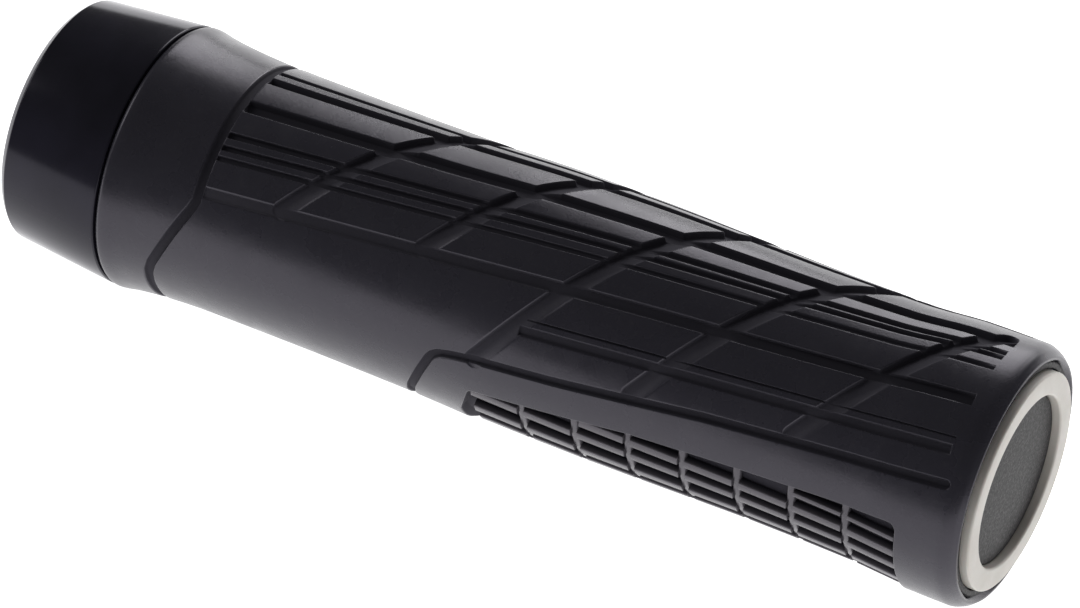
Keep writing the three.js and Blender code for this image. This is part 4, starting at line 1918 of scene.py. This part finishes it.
@dataclass
class EndRing:
    """The pale ring set into the end cap."""

    back: float = 134.55
    front: float = 136.05
    outer: float = 14.2
    inner: float = 11.2
    back_edge: float = 0.1
    edge: float = 0.32
    rounding_steps: int = 6
    segments: int = 192

    def build(self, material: Material) -> Object:
        """Makes the ring.

        Args:
            material: Its finish.

        Returns:
            The finished piece.
        """
        outline = rounded([(self.back, self.inner), (self.back, self.outer),
                           (self.front, self.outer), (self.front, self.inner)],
                          (self.back_edge, self.back_edge, self.edge, self.edge), self.rounding_steps)
        piece = object_from("ring", turned("ring", outline, self.segments))
        shaded(piece, SOFT_EDGE)
        dress(piece, material, "end_ring")
        return piece


def dress(piece: Object, material: Material, node: str) -> None:
    """Gives a piece its finish and puts it in a node's place.

    Args:
        piece: The piece.
        material: Its finish.
        node: The CAD node that it stands for.
    """
    piece.data.materials.clear()
    piece.data.materials.append(material)
    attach(piece, BODY)
    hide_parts(node)
    LOG.info("%s: %d faces in place of %s", piece.name, len(piece.data.polygons), node)


@dataclass
class Studio:
    """The pale floor, the soft lights and the camera at the photograph's viewing angle."""

    floor_height: float = -17.5
    floor_size: float = 3000.0
    camera_place: Triple = (382.82, -568.39, 622.75)
    camera_right: Triple = (0.8757075, 0.4828420, 0.0)
    camera_down: Triple = (0.3345182, -0.6066997, -0.7211193)
    lens: float = 240.62
    sensor: float = 36.0
    view_range: Span = (0.05, 20.0)  # metres
    aim: Triple = (68.0, 0.0, 0.0)
    lamps: tuple[tuple[str, Triple, float, float], ...] = (
        ("rear_box", (0.0, 900.0, 430.0), 700.0, 6.0),
        ("side_box", (-800.0, -100.0, 500.0), 500.0, 2.0),
    )  # name, place, side and watts
    room_light: float = 0.13

    def build(self) -> None:
        """Sets everything up."""
        self.floor()
        self.lights()
        self.camera()

    def floor(self) -> None:
        """Lays the floor."""
        half = self.floor_size / 2
        corners = ((-half, -half), (half, -half), (half, half), (-half, half))
        points = [(x, y, self.floor_height) for x, y in corners]
        floor = object_from("floor", mesh_from("floor", np.array(points), [(0, 1, 2, 3)]))
        floor.data.materials.append(PaleFloor().material())

    def lights(self) -> None:
        """Hangs the soft boxes and sets the dim room around them."""
        aim = Vector(self.aim) * MM
        for name, place, size, power in self.lamps:
            light = bpy.data.lights.new(name, "AREA")
            light.shape, light.size, light.energy = "SQUARE", size * MM, power
            lamp = bpy.data.objects.new(name, light)
            bpy.context.scene.collection.objects.link(lamp)
            lamp.location = Vector(place) * MM
            lamp.rotation_euler = (aim - lamp.location).to_track_quat("-Z", "Y").to_euler()
        world = bpy.data.worlds.new("studio")
        world.use_nodes = True
        background = world.node_tree.nodes["Background"].inputs
        background["Color"].default_value = (1.0, 1.0, 1.0, 1.0)
        background["Strength"].default_value = self.room_light
        bpy.context.scene.world = world
        bpy.context.scene.view_settings.view_transform = "Standard"

    def camera(self) -> None:
        """Places the camera."""
        data = bpy.data.cameras.new("camera")
        data.lens, data.sensor_width, data.sensor_fit = self.lens, self.sensor, "HORIZONTAL"
        data.clip_start, data.clip_end = self.view_range
        camera = bpy.data.objects.new("camera", data)
        bpy.context.scene.collection.objects.link(camera)
        right, up = Vector(self.camera_right), -Vector(self.camera_down)
        back = right.cross(up)
        turn = Matrix((right, up, back)).transposed().to_4x4()
        camera.matrix_world = Matrix.Translation(Vector(self.camera_place) * MM) @ turn
        bpy.context.scene.camera = camera


def main() -> None:
    """Builds the grip and its studio."""
    logging.basicConfig(level=logging.INFO, format="%(message)s")
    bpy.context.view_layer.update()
    Studio().build()
    body, core, bolt = RubberBody(), CoreSleeve(), PinchBolt()
    body.build(MouldedRubber().material(), wrap_group())
    # The ribs and webs take the lighter copy of the rubber, a painted highlight
    body.comb.build(body, RIB_RUBBER_PAINTED_HIGHLIGHT.material())
    core.build(HardPlastic().material())
    bolt.build(ZincPlate().material())
    ClampCollar().build(BlackAnodising().material(), bolt, core)
    EndCap().build(SparkTexture().material())
    EndRing().build(WarmWhite().material())


if __name__ == "__main__":
    main()
